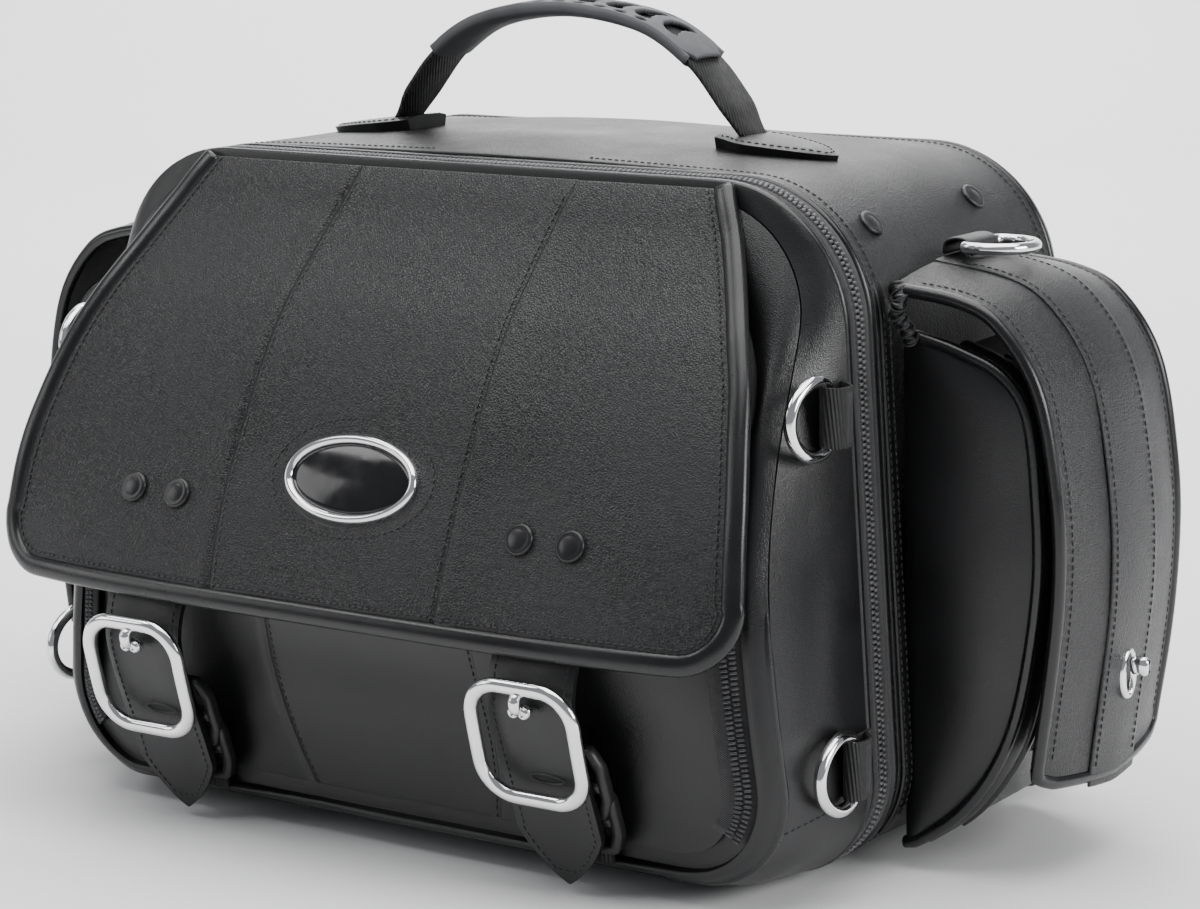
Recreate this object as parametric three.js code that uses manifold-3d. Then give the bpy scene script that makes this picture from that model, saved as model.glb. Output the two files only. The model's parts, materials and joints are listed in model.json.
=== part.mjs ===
// A motorcycle tail bag: a hard-sided main case that stands on its base, a wedge-shaped front door
// that carries a pocket and hinges along its lower edge, a buckled front flap, two side pockets with
// turn-locked flaps, six tie-down rings and a top handle.
//
// Millimetres. +Z is up, -Y is the front, +X is the bag's right as seen from the front.
// The origin is on the underside of the base.

import * as THREE from 'three';
import { mergeVertices } from 'three/addons/utils/BufferGeometryUtils.js';
import Module from 'manifold-3d';

const wasm = await Module();
wasm.setup();

// ---------------------------------------------------------------- driving dimensions

// Outlines, seen from the front. half is the half-width at the lower corner, shoulder the half-width
// where the upper corner begins.
const CASE = { half: 206, shoulder: 194, bottom: 0, top: 292, lowRadius: 45, topRadius: 62 };
const SEAM = { half: 202, shoulder: 183, bottom: 9, top: 266, lowRadius: 45, topRadius: 72 };
const POCKET = { half: 187, shoulder: 170, bottom: 20, top: 258, lowRadius: 34, topRadius: 64 };

const WALL = 4;              // padded wall of the case
const SKIN = 3;              // unpadded leather and lining
const GAP = 0.35;            // clearance between touching pieces

const CASE_BACK_Y = 92;      // rear edge of the case's walls
const CASE_FRONT_Y = -67.3;  // front edge of the case's walls
const SPLIT_Y = -80;         // plane in which the main zip parts
const RIM_Y = -90;           // piping around the door
const PIPING_RADIUS = 2.4;
const CROWN = 7;             // rise of the top between its edges

const REAR_PANEL_THICKNESS = 5;
const BASE_THICKNESS = 5;

// Seam between the door's gusset and the front pocket: [height, depth], a curve through them.
const SEAM_LINE = [[9, -147], [50, -151], [120, -154], [165, -152.5], [190, -147], [215, -133], [240, -113], [266, -98]];
const SEAM_PIPING_TOP = 165;  // above this the seam is a plain fold

// Outer face of the front flap on the centre line: [height, depth].
const FLAP_LINE = [
  [283, -100.5], [270, -108.5], [250, -123], [230, -138], [200, -156], [170, -170], [150, -179.5], [120, -192.5], [107, -196],
];
const FLAP_TOP_Z = 281;
const FLAP_BOTTOM_Z = 107;
const FLAP_HALF_WIDTH = 196;
const FLAP_CORNER_RADIUS = 26;
const FLAP_THICKNESS = 4;

// Front of the pocket on the centre line: [height, depth].
const FACE_LINE = [
  [20, -150], [45, -156], [70, -165], [95, -175], [110, -178.5], [125, -175.5], [150, -164.5], [170, -156.5], [200, -146],
  [230, -128], [258, -106],
];

const STRAP = { x: 104, width: 42, thickness: 3.5, tipLength: 26 };
// Outer face of the straps: [height, depth].
const STRAP_LINE = [
  [166, -164.5], [150, -170.5], [120, -182], [107, -186.5], [98, -190], [84, -191], [60, -183.5], [30, -172], [4, -164],
];

const BUCKLE = { width: 57, height: 58, wire: 3.2, corner: 14, z: 72 };

const RING = { halfHeight: 16.4, reach: 27, wire: 2.4 };
const RING_WEBBING = 25;     // width of the tie-down webbing
const RING_LOOP = { length: 21, thickness: 8 };
const RING_STANDOFF = { upper: 3.2, lower: 1.6 };  // from the gusset, which leans back further up
const RING_BAR_Y = -113;
const RING_HEIGHTS = { upper: 202, lower: 57 };

const SIDE_POCKET = { frontY: -57, backY: 50, top: 226, bulge: 6 };
// Outer outline of a side pocket: [distance from the centre plane, height].
const SIDE_POCKET_LINE = [[224, 224.5], [246, 216], [259, 200], [264, 165], [265, 128], [258, 80], [247, 50], [230, 27], [210, 12]];

const SIDE_FLAP = { frontY: -62, backY: 52, thickness: 4, crown: 7 };
// Outer face of a side flap at its front and rear edges: [distance from the centre plane, height].
const SIDE_FLAP_LINE = [[197, 250], [228, 246], [247, 237], [265, 211], [274, 167], [276, 126], [272, 84], [267, 45]];

const LOCK = { z: 84, plateWidth: 13, plateHeight: 22, slotWidth: 5.6, slotHeight: 17, paddleHeight: 7.8, paddleReach: 8 };

const HANDLE = { y: -3, footX: 92, footZ: 304.5, pivotZ: 317, topZ: 354, webbing: 27, thickness: 2.4 };
const GRIP = { halfLength: 70, width: 31, thickness: 5 };

const SLEEVE = { width: 230, bottom: 70, top: 238, depth: 16, wall: 3 };

// ---------------------------------------------------------------- materials

const finishes = {
  leather: [0x1b1c1e, 0.46, 0],
  smoothLeather: [0x202124, 0.4, 0],
  lining: [0x17181a, 0.85, 0],
  tape: [0x121214, 0.8, 0],
  webbing: [0x18191b, 0.75, 0],
  rubber: [0x55585c, 0.6, 0],
  plastic: [0x101012, 0.35, 0],
  chrome: [0xd8dade, 0.12, 1],
  rivet: [0x222326, 0.3, 0.2],
};

function material(finish) {
  const [color, roughness, metalness] = finishes[finish];
  return new THREE.MeshStandardMaterial({ color, roughness, metalness });
}

const bag = new THREE.Group();

function place(name, geometry, finish, parent = bag) {
  const mesh = new THREE.Mesh(geometry, material(finish));
  mesh.name = name;
  parent.add(mesh);
  return mesh;
}

// ---------------------------------------------------------------- solid builders

function signedVolume(points, index) {
  let sum = 0;
  for (let i = 0; i < index.length; i += 3) {
    const [a, b, c] = [points[index[i]], points[index[i + 1]], points[index[i + 2]]];
    sum += a.dot(new THREE.Vector3().crossVectors(b, c));
  }
  return sum / 6;
}

function closedGeometry(points, index) {
  if (signedVolume(points, index) < 0) {
    for (let i = 0; i < index.length; i += 3) {
      [index[i + 1], index[i + 2]] = [index[i + 2], index[i + 1]];
    }
  }
  const geometry = new THREE.BufferGeometry().setFromPoints(points);
  geometry.setIndex(index);
  geometry.computeVertexNormals();
  return geometry;
}

// A solid between two grids of points. rows of the outer face pair with rows of the inner face.
// With loop, each row closes on itself.
function sheet(outer, inner, loop = false) {
  const rows = outer.length;
  const columns = outer[0].length;
  const points = [...outer.flat(), ...inner.flat()];
  const index = [];
  const at = (side, row, column) => side * rows * columns + row * columns + (column % columns);
  const quad = (a, b, c, d) => index.push(a, b, c, a, c, d);
  const spans = loop ? columns : columns - 1;
  for (let row = 0; row < rows - 1; row += 1) {
    for (let column = 0; column < spans; column += 1) {
      quad(at(0, row, column), at(0, row, column + 1), at(0, row + 1, column + 1), at(0, row + 1, column));
      quad(at(1, row, column), at(1, row + 1, column), at(1, row + 1, column + 1), at(1, row, column + 1));
    }
    if (!loop) {
      const last = columns - 1;
      quad(at(0, row, 0), at(0, row + 1, 0), at(1, row + 1, 0), at(1, row, 0));
      quad(at(0, row, last), at(1, row, last), at(1, row + 1, last), at(0, row + 1, last));
    }
  }
  for (let column = 0; column < spans; column += 1) {
    const end = rows - 1;
    quad(at(0, 0, column), at(1, 0, column), at(1, 0, column + 1), at(0, 0, column + 1));
    quad(at(0, end, column), at(0, end, column + 1), at(1, end, column + 1), at(1, end, column));
  }
  return closedGeometry(points, index);
}

// A solid of even thickness behind a grid of points; it grows towards the given inner point.
function padded(outer, thickness, inside, loop = false) {
  const rows = outer.length;
  const columns = outer[0].length;
  const wrap = (column) => (loop ? (column + columns) % columns : THREE.MathUtils.clamp(column, 0, columns - 1));
  const inner = outer.map((points, row) => points.map((point, column) => {
    const along = new THREE.Vector3().subVectors(points[wrap(column + 1)], points[wrap(column - 1)]);
    const [above, below] = [outer[Math.min(row + 1, rows - 1)][column], outer[Math.max(row - 1, 0)][column]];
    const normal = new THREE.Vector3().crossVectors(along, new THREE.Vector3().subVectors(above, below)).normalize();
    const sign = Math.sign(normal.dot(new THREE.Vector3().subVectors(inside, point)));
    return point.clone().addScaledVector(normal, sign * thickness);
  }));
  return sheet(outer, inner, loop);
}

// A round bar along a closed path that lies near the plane whose normal is given.
function ringBar(path, radius, normal, sides = 6) {
  const count = path.length;
  const points = [];
  const index = [];
  path.forEach((centre, i) => {
    const before = path[(i + count - 1) % count];
    const after = path[(i + 1) % count];
    const along = new THREE.Vector3().subVectors(after, before).normalize();
    const out = new THREE.Vector3().crossVectors(along, normal).normalize();
    const up = new THREE.Vector3().crossVectors(out, along).normalize();
    for (let side = 0; side < sides; side += 1) {
      const angle = (side / sides) * Math.PI * 2;
      points.push(centre.clone()
        .addScaledVector(out, Math.cos(angle) * radius)
        .addScaledVector(up, Math.sin(angle) * radius));
      const next = ((i + 1) % count) * sides;
      const [a, b] = [i * sides + side, i * sides + ((side + 1) % sides)];
      const [c, d] = [next + ((side + 1) % sides), next + side];
      index.push(a, b, c, a, c, d);
    }
  });
  return closedGeometry(points, index);
}

// A flat plate from an outline in X and Z, between two depths.
function plate(outline, frontY, backY, holes = []) {
  const shape = new THREE.Shape(outline);
  holes.forEach((hole) => shape.holes.push(new THREE.Path(hole)));
  const geometry = new THREE.ExtrudeGeometry(shape, { depth: backY - frontY, bevelEnabled: false, curveSegments: 6 });
  geometry.rotateX(Math.PI / 2);
  geometry.translate(0, backY, 0);
  return geometry;
}

function box(x0, x1, y0, y1, z0, z1) {
  const geometry = new THREE.BoxGeometry(x1 - x0, y1 - y0, z1 - z0);
  geometry.translate((x0 + x1) / 2, (y0 + y1) / 2, (z0 + z1) / 2);
  return geometry;
}

function mirrored(geometry) {
  const copy = geometry.clone();
  copy.scale(-1, 1, 1);
  const flat = copy.index ? copy.toNonIndexed() : copy;
  const position = flat.getAttribute('position');
  for (let i = 0; i < position.count; i += 3) {
    const [x, y, z] = [position.getX(i + 1), position.getY(i + 1), position.getZ(i + 1)];
    position.setXYZ(i + 1, position.getX(i + 2), position.getY(i + 2), position.getZ(i + 2));
    position.setXYZ(i + 2, x, y, z);
  }
  flat.computeVertexNormals();
  return flat;
}

function onSide(geometry, side) {
  return side > 0 ? geometry : mirrored(geometry);
}

// ---------------------------------------------------------------- joins and cuts

function toSolid(geometry) {
  let plain = geometry.clone();
  plain.deleteAttribute('normal');
  plain.deleteAttribute('uv');
  plain = mergeVertices(plain, 1e-4);
  const index = plain.index.array;
  const kept = [];
  for (let i = 0; i < index.length; i += 3) {
    const [a, b, c] = [index[i], index[i + 1], index[i + 2]];
    if (a !== b && b !== c && c !== a) kept.push(a, b, c);
  }
  return new wasm.Manifold(new wasm.Mesh({
    numProp: 3,
    vertProperties: new Float32Array(plain.getAttribute('position').array),
    triVerts: new Uint32Array(kept),
  }));
}

function fromSolid(solid) {
  const { vertProperties, triVerts } = solid.getMesh();
  const geometry = new THREE.BufferGeometry();
  geometry.setAttribute('position', new THREE.BufferAttribute(new Float32Array(vertProperties), 3));
  geometry.setIndex(new THREE.BufferAttribute(new Uint32Array(triVerts), 1));
  geometry.computeVertexNormals();
  return geometry;
}

function join(first, ...others) {
  return fromSolid(others.reduce((solid, geometry) => solid.add(toSolid(geometry)), toSolid(first)));
}

function cut(geometry, ...tools) {
  return fromSolid(tools.reduce((solid, tool) => solid.subtract(toSolid(tool)), toSolid(geometry)));
}

// ---------------------------------------------------------------- outlines and lines

function inset(outline, distance) {
  return {
    half: outline.half - distance,
    shoulder: outline.shoulder - distance,
    bottom: outline.bottom + distance,
    top: outline.top - distance,
    lowRadius: outline.lowRadius - distance,
    topRadius: outline.topRadius - distance,
  };
}

function arc(centreX, centreZ, radius, from, to, steps) {
  const points = [];
  for (let i = 0; i <= steps; i += 1) {
    const angle = from + ((to - from) * i) / steps;
    points.push(new THREE.Vector2(centreX + Math.cos(angle) * radius, centreZ + Math.sin(angle) * radius));
  }
  return points;
}

// Right-hand side of an outline: up from the end of the flat bottom to the start of the flat top.
function rightSide({ half, shoulder, bottom, top, lowRadius, topRadius }) {
  const low = arc(half - lowRadius, bottom + lowRadius, lowRadius, -Math.PI / 2, 0, 6);
  const high = arc(shoulder - topRadius, top - topRadius, topRadius, 0, Math.PI / 2, 8);
  const straight = [0.2, 0.4, 0.6, 0.8].map((t) => low[low.length - 1].clone().lerp(high[0], t));
  return [...low, ...straight, ...high];
}

function wholeOutline(outline) {
  const right = rightSide(outline);
  const end = right[right.length - 1];
  const top = [
    new THREE.Vector2(end.x / 2, outline.top),
    new THREE.Vector2(-end.x / 2, outline.top),
  ];
  const left = right.map((p) => new THREE.Vector2(-p.x, p.y)).reverse();
  return [...right, ...top, ...left];
}

// The sides and top of an outline, open along its flat bottom.
function openOutline(outline) {
  const right = rightSide(outline);
  return [...right, ...right.map((p) => new THREE.Vector2(-p.x, p.y)).reverse()];
}

// Half-width of an outline at a height.
function halfWidthAt({ half, shoulder, bottom, top, lowRadius, topRadius }, z) {
  const lowZ = bottom + lowRadius;
  const highZ = top - topRadius;
  if (z < lowZ) return half - lowRadius + Math.sqrt(Math.max(lowRadius ** 2 - (lowZ - z) ** 2, 0));
  if (z > highZ) return shoulder - topRadius + Math.sqrt(Math.max(topRadius ** 2 - (z - highZ) ** 2, 0));
  return THREE.MathUtils.mapLinear(z, lowZ, highZ, half, shoulder);
}

// Depth on a smooth line through [height, depth] pairs, at a height.
function depthOn(line) {
  const sorted = [...line].sort((a, b) => a[0] - b[0]);
  return (z) => {
    const last = sorted.length - 1;
    if (z <= sorted[0][0]) return sorted[0][1];
    if (z >= sorted[last][0]) return sorted[last][1];
    const i = sorted.findIndex((pair) => pair[0] > z) - 1;
    const t = (z - sorted[i][0]) / (sorted[i + 1][0] - sorted[i][0]);
    const slope = (k) => {
      const [a, b] = [sorted[Math.max(k - 1, 0)], sorted[Math.min(k + 1, last)]];
      return ((b[1] - a[1]) / (b[0] - a[0])) * (sorted[i + 1][0] - sorted[i][0]);
    };
    const [p, q] = [sorted[i][1], sorted[i + 1][1]];
    const [m, n] = [slope(i), slope(i + 1)];
    return (2 * t ** 3 - 3 * t ** 2 + 1) * p + (t ** 3 - 2 * t ** 2 + t) * m
      + (-2 * t ** 3 + 3 * t ** 2) * q + (t ** 3 - t ** 2) * n;
  };
}

const seamDepth = depthOn(SEAM_LINE);
const flapDepth = depthOn(FLAP_LINE);
const faceDepth = depthOn(FACE_LINE);
const strapDepth = depthOn(STRAP_LINE);

const atDepth = (outline, depth) => outline.map((p) => new THREE.Vector3(p.x, depth(p.y, p.x), p.y));
const constant = (value) => () => value;

// A line moved sideways by a distance, to the left of its direction.
function offsetLine(points, distance) {
  return points.map((p, i) => {
    const a = points[Math.max(i - 1, 0)];
    const b = points[Math.min(i + 1, points.length - 1)];
    const length = Math.hypot(b.x - a.x, b.y - a.y);
    return new THREE.Vector2(p.x - ((b.y - a.y) / length) * distance, p.y + ((b.x - a.x) / length) * distance);
  });
}

const splineThrough = (pairs, steps) => new THREE.SplineCurve(pairs.map(([x, z]) => new THREE.Vector2(x, z))).getPoints(steps);

// ---------------------------------------------------------------- main case

function crownAt(x, y) {
  const across = Math.cos((x / (CASE.shoulder - CASE.topRadius)) * (Math.PI / 2));
  const along = Math.min(1, (y - CASE_FRONT_Y + 14) / 60);
  return CROWN * across * along;
}

function sideGusset() {
  const outer = rightSide(CASE);
  const inner = rightSide(inset(CASE, WALL));
  const depths = [CASE_FRONT_Y, CASE_BACK_Y];
  return sheet(
    depths.map((y) => atDepth(outer, constant(y))),
    depths.map((y) => atDepth(inner, constant(y))),
  );
}

function topPanel() {
  const half = CASE.shoulder - CASE.topRadius - GAP;
  const columns = Array.from({ length: 9 }, (_, i) => half - (2 * half * i) / 8);
  const depths = [CASE_FRONT_Y, -40, 0, 50, CASE_BACK_Y];
  const face = (drop) => depths.map((y) => columns.map((x) => new THREE.Vector3(x, y, CASE.top + crownAt(x, y) - drop)));
  return sheet(face(0), face(WALL));
}

function basePanel() {
  const half = CASE.half - CASE.lowRadius - GAP;
  return box(-half, half, RIM_Y + PIPING_RADIUS + 1, CASE_BACK_Y, 0, BASE_THICKNESS);
}

// Half of the main zip, with its tape and teeth, around the sides and top between two depths.
function zipHalf(frontY, backY) {
  const rows = (distance) => [frontY, backY].map((y) => atDepth(openOutline(inset(CASE, distance)), constant(y)));
  return sheet(rows(1.5), rows(1.5 + SKIN));
}

// A round piping cord along an open path.
function pipingCord(points, steps) {
  const curve = new THREE.CatmullRomCurve3(points, false, 'centripetal');
  const section = new THREE.Shape(arc(0, 0, PIPING_RADIUS, 0, Math.PI * 2 - Math.PI / 3, 5));
  return new THREE.ExtrudeGeometry(section, { steps, extrudePath: curve });
}

const CASE_PIPING_Y = CASE_FRONT_Y - PIPING_RADIUS - GAP;

// The case's half of the zip is sewn together with the piping around the sides and top.
function caseZip() {
  const path = openOutline(inset(CASE, PIPING_RADIUS + GAP));
  const cord = pipingCord(atDepth(path, constant(CASE_PIPING_Y)), 48);
  return join(zipHalf(SPLIT_Y + GAP, CASE_PIPING_Y), cord);
}

place('side_gusset_right', sideGusset(), 'smoothLeather');
place('side_gusset_left', mirrored(sideGusset()), 'smoothLeather');
place('top_panel', topPanel(), 'smoothLeather');
place('base_panel', basePanel(), 'leather');
place('rear_panel', plate(wholeOutline(CASE), CASE_BACK_Y + GAP, CASE_BACK_Y + GAP + REAR_PANEL_THICKNESS), 'leather');
place('case_zip', caseZip(), 'tape');

// A sleeve across the back, closed at its top and open below, that drops over a backrest.
function backrestSleeve() {
  const front = CASE_BACK_Y + GAP + REAR_PANEL_THICKNESS + GAP;
  const half = SLEEVE.width / 2;
  const cover = box(-half, half, front, front + SLEEVE.depth, SLEEVE.bottom, SLEEVE.top);
  const hollow = box(
    -half + SLEEVE.wall * 2, half - SLEEVE.wall * 2,
    front - 1, front + SLEEVE.depth - SLEEVE.wall,
    SLEEVE.bottom - 1, SLEEVE.top - SLEEVE.wall * 2,
  );
  return cut(cover, hollow);
}

place('backrest_sleeve', backrestSleeve(), 'leather');

// ---------------------------------------------------------------- front door and pocket

const DOOR_MIDDLE = new THREE.Vector3(0, SPLIT_Y - 20, 130);

function doorPanel() {
  return plate(wholeOutline(inset(CASE, 6)), SPLIT_Y - 3 - SKIN, SPLIT_Y - 3);
}

function doorGusset() {
  const rim = wholeOutline(CASE);
  const seam = wholeOutline(SEAM);
  const rows = [0, 0.35, 0.7, 1].map((t) => rim.map((p, i) => {
    const forward = THREE.MathUtils.lerp(0.8, SKIN + 0.2, THREE.MathUtils.smoothstep(p.y, 225, 270));
    const rimY = RIM_Y - PIPING_RADIUS - GAP - forward;
    return new THREE.Vector3(
      THREE.MathUtils.lerp(p.x, seam[i].x, t),
      THREE.MathUtils.lerp(rimY, seamDepth(seam[i].y) + seamGap(seam[i].y), t),
      THREE.MathUtils.lerp(p.y, seam[i].y, t),
    );
  }));
  return padded(rows, SKIN, DOOR_MIDDLE, true);
}

// Half of the room that the seam's piping takes between the two gussets.
function seamGap(z) {
  return GAP + PIPING_RADIUS * (1 - THREE.MathUtils.smoothstep(z, SEAM_PIPING_TOP, SEAM_PIPING_TOP + 12));
}

// The pocket's own gusset, from the seam forward to the zip around its face. At its bottom and its
// top it faces forward, so all of its thickness lies in front of the seam.
function pocketGusset() {
  const seam = wholeOutline(SEAM);
  const mouth = wholeOutline(POCKET);
  const row = (t, u) => seam.map((p, i) => new THREE.Vector3(
    THREE.MathUtils.lerp(p.x, mouth[i].x, t),
    THREE.MathUtils.lerp(seamDepth(p.y) - seamGap(p.y) - SKIN, pocketEdgeDepth(mouth[i].y), u),
    THREE.MathUtils.lerp(p.y, mouth[i].y, t),
  ));
  return padded([row(0, 0), row(0.35, 0.75), row(1, 1)], SKIN, DOOR_MIDDLE, true);
}

// Depth of the pocket's mouth: level with the face, or just ahead of the seam where the face meets it.
function pocketEdgeDepth(z) {
  return Math.min(faceDepth(z) + 5, seamDepth(z) - PIPING_RADIUS - SKIN);
}

function pocketFace() {
  const heights = [20, 26, 40, 60, 80, 100, 120, 145, 170, 195, 215, 232, 245, 254, 258];
  const outline = inset(POCKET, SKIN + GAP);
  const across = [-1, -0.86, -0.55, 0, 0.55, 0.86, 1];
  const low = outline.bottom;
  const high = outline.top;
  const grid = (thickness) => heights.map((height) => {
    const z = THREE.MathUtils.mapLinear(height, POCKET.bottom, POCKET.top, low, high);
    const half = halfWidthAt(outline, z);
    return across.map((u) => {
      const bow = faceDepth(z) + (pocketEdgeDepth(z) - faceDepth(z)) * Math.abs(u) ** 5;
      return new THREE.Vector3(u * half, bow + thickness, z);
    });
  });
  return sheet(grid(0), grid(SKIN));
}

function doorPiping() {
  const path = atDepth(wholeOutline(inset(CASE, PIPING_RADIUS + GAP)), constant(RIM_Y));
  return ringBar(path, PIPING_RADIUS, new THREE.Vector3(0, 1, 0));
}

// Piping along the seam in front, down one side, along the bottom and up the other side.
function pocketPiping() {
  const outline = inset(SEAM, 0.6);
  const heights = [SEAM_PIPING_TOP, 140, 112, 84];
  const straight = heights.map((z) => new THREE.Vector2(halfWidthAt(outline, z), z));
  const corner = arc(outline.half - outline.lowRadius, outline.bottom + outline.lowRadius, outline.lowRadius, 0, -Math.PI / 2, 6);
  const right = [...straight, ...corner];
  const left = right.map((p) => new THREE.Vector2(-p.x, p.y)).reverse();
  return pipingCord(atDepth([...right, ...left], seamDepth), 44);
}

place('door_panel', doorPanel(), 'lining');
place('door_gusset', doorGusset(), 'leather');
place('door_zip', zipHalf(RIM_Y + PIPING_RADIUS + GAP, SPLIT_Y - GAP), 'tape');
place('door_piping', doorPiping(), 'smoothLeather');
place('pocket_gusset', pocketGusset(), 'leather');
place('pocket_face', pocketFace(), 'leather');
place('pocket_piping', pocketPiping(), 'smoothLeather');

// ---------------------------------------------------------------- front flap

const flapOutline = {
  half: FLAP_HALF_WIDTH,
  shoulder: 184,
  bottom: FLAP_BOTTOM_Z,
  top: 284,
  lowRadius: FLAP_CORNER_RADIUS,
  topRadius: 80,
};

// The flap follows the pocket and turns back towards its side edges, most of all at its lower corners.
function flapSurface(x, z) {
  const corner = THREE.MathUtils.smoothstep(FLAP_BOTTOM_Z + 70 - z, 0, 70);
  const drop = THREE.MathUtils.lerp(3.5, 15, corner);
  return flapDepth(z) + drop * Math.abs(x / FLAP_HALF_WIDTH) ** 4;
}

function flapNormal(x, z) {
  const step = 2;
  const along = (flapSurface(x, z + step) - flapSurface(x, z - step)) / (2 * step);
  const across = (flapSurface(x + step, z) - flapSurface(x - step, z)) / (2 * step);
  return new THREE.Vector3(across, -1, along).normalize();
}

function flapPoint(x, z, above = 0) {
  return new THREE.Vector3(x, flapSurface(x, z), z).addScaledVector(flapNormal(x, z), above);
}

function flapSheet() {
  const low = FLAP_BOTTOM_Z;
  const heights = [low, low + 3, low + 9, low + 18, low + 26, 150, 170, 190, 210, 230, 245, 258, 269, FLAP_TOP_Z];
  const across = [-1, -0.9, -0.72, -0.45, 0, 0.45, 0.72, 0.9, 1];
  const grid = (above) => heights.map((z) => {
    const half = halfWidthAt(flapOutline, z);
    return across.map((u) => flapPoint(u * half, z, above));
  });
  return sheet(grid(0), grid(-FLAP_THICKNESS));
}

// Turns a geometry modelled on the plane Y = 0, facing -Y, onto the flap at a place.
function ontoFlap(geometry, x, z, above) {
  const normal = flapNormal(x, z);
  const turn = new THREE.Quaternion().setFromUnitVectors(new THREE.Vector3(0, -1, 0), normal);
  const matrix = new THREE.Matrix4().compose(flapPoint(x, z, above), turn, new THREE.Vector3(1, 1, 1));
  return geometry.clone().applyMatrix4(matrix);
}

function ellipse(radiusX, radiusZ, steps = 28) {
  return Array.from({ length: steps }, (_, i) => {
    const angle = (i / steps) * Math.PI * 2;
    return new THREE.Vector2(Math.cos(angle) * radiusX, Math.sin(angle) * radiusZ);
  });
}

const BADGE = { z: 166, halfWidth: 35, halfHeight: 19.5, rim: 4, seat: 1 };
const FLAP_RIVET = { z: 151.6, spread: 12.6, radius: 6.6, shank: 2.4 };

function badgeBezel() {
  const outer = ellipse(BADGE.halfWidth, BADGE.halfHeight);
  const inner = ellipse(BADGE.halfWidth - BADGE.rim, BADGE.halfHeight - BADGE.rim);
  return ontoFlap(plate(outer, -3.4, 0, [inner]), 0, BADGE.z, BADGE.seat);
}

function badgeFace() {
  const outline = ellipse(BADGE.halfWidth - BADGE.rim - GAP, BADGE.halfHeight - BADGE.rim - GAP);
  return ontoFlap(plate(outline, -1.8, 0), 0, BADGE.z, BADGE.seat);
}

// A domed rivet head with its shank, standing on the plane Y = 0 and facing -Y.
function rivet(shankLength) {
  const { radius, shank } = FLAP_RIVET;
  const profile = [[0, -shankLength], [shank, -shankLength], [shank, 0], [radius, 0], [radius - 0.3, 1.4], [radius * 0.6, 2.6], [0, 3]];
  const geometry = new THREE.LatheGeometry(profile.map(([r, h]) => new THREE.Vector2(r, h)), 12);
  geometry.rotateX(Math.PI);
  return geometry;
}

// Two rivets through the flap, with the washer bar that joins them behind it.
function rivetPair(side) {
  const { z, spread } = FLAP_RIVET;
  const depth = FLAP_THICKNESS + GAP;
  const heads = [-spread, spread].map((dx) => ontoFlap(rivet(depth + 0.8), side * STRAP.x + dx, z, GAP));
  const bar = ontoFlap(box(-spread - 5, spread + 5, depth + 0.2, depth + 1.4, -4.5, 4.5), side * STRAP.x, z, 0);
  return join(bar, ...heads);
}

function rivetHoles(side) {
  const { z, spread, shank } = FLAP_RIVET;
  return [-spread, spread].map((dx) => {
    const hole = new THREE.CylinderGeometry(shank + GAP, shank + GAP, 16, 12);
    return ontoFlap(hole, side * STRAP.x + dx, z, 0);
  });
}

place('front_flap', cut(flapSheet(), ...rivetHoles(1), ...rivetHoles(-1)), 'leather');
place('badge_bezel', badgeBezel(), 'chrome');
place('badge_face', badgeFace(), 'plastic');

// ---------------------------------------------------------------- straps, buckles and clips

function strap(side) {
  const { x, width, thickness, tipLength } = STRAP;
  const last = STRAP_LINE[STRAP_LINE.length - 1][0];
  const heights = [166, 150, 135, 120, 107, 96, 84, 72, 60, 45, last + tipLength, last + tipLength * 0.45, last];
  const tip = (z) => {
    const t = THREE.MathUtils.clamp((z - last) / tipLength, 0, 1);
    return Math.max(Math.sqrt(t), 0.12);
  };
  const grid = (inward) => heights.map((z) => {
    const half = (width / 2) * tip(z);
    return [-1, 0, 1].map((u) => new THREE.Vector3(side * x + u * half, strapDepth(z) + inward, z));
  });
  return sheet(grid(0), grid(thickness));
}

// Leans a geometry that is modelled upright at Y = 0 so that it lies along the strap.
function alongStrap(geometry, side, z, above) {
  const step = 12;
  const lean = Math.atan2(strapDepth(z + step) - strapDepth(z - step), 2 * step);
  const copy = geometry.clone();
  copy.rotateX(-lean);
  copy.translate(side * STRAP.x, strapDepth(z) - above, z);
  return copy;
}

function roundedRectangle(width, height, radius, steps = 4) {
  const [x, z] = [width / 2 - radius, height / 2 - radius];
  return [
    ...arc(x, z, radius, 0, Math.PI / 2, steps),
    ...arc(-x, z, radius, Math.PI / 2, Math.PI, steps),
    ...arc(-x, -z, radius, Math.PI, 1.5 * Math.PI, steps),
    ...arc(x, -z, radius, 1.5 * Math.PI, 2 * Math.PI, steps),
  ];
}

// The frame with its prong, which hangs from the middle of the upper bar.
function buckle(side) {
  const { width, height, wire, corner, z } = BUCKLE;
  const line = roundedRectangle(width - 2 * wire, height - 2 * wire, corner - wire);
  const frame = ringBar(line.map((p) => new THREE.Vector3(p.x, 0, p.y)), wire, new THREE.Vector3(0, 1, 0), 8);
  const prong = new THREE.CapsuleGeometry(2.3, 9, 3, 8);
  prong.rotateX(Math.PI / 2);
  prong.translate(0, 0, height / 2 - wire - 8);
  return alongStrap(join(frame, prong), side, z, wire + 0.9);
}

// The quick-release clip behind each strap. The plug slides between the socket's two rails, and the
// socket is open to the front, so the plug also leaves it forwards.
const CLIP = { z: 47, width: 34, height: 34, rail: 5, depth: 5 };

function clipPlug(side) {
  const { width, height, rail, depth, z } = CLIP;
  const body = box(-width / 2, width / 2, 0, depth, height / 2 - 10, height / 2 + 6);
  const tongue = width / 2 - rail - 0.6;
  const prongs = [-1, 1].map((s) => {
    const [a, b] = [s * tongue, s * (tongue - 6)];
    return box(Math.min(a, b), Math.max(a, b), 0.6, depth - 0.8, -height / 2 + 6, height / 2 - 9);
  });
  return alongStrap(join(body, ...prongs), side, z, -STRAP.thickness - 1.2);
}

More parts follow.
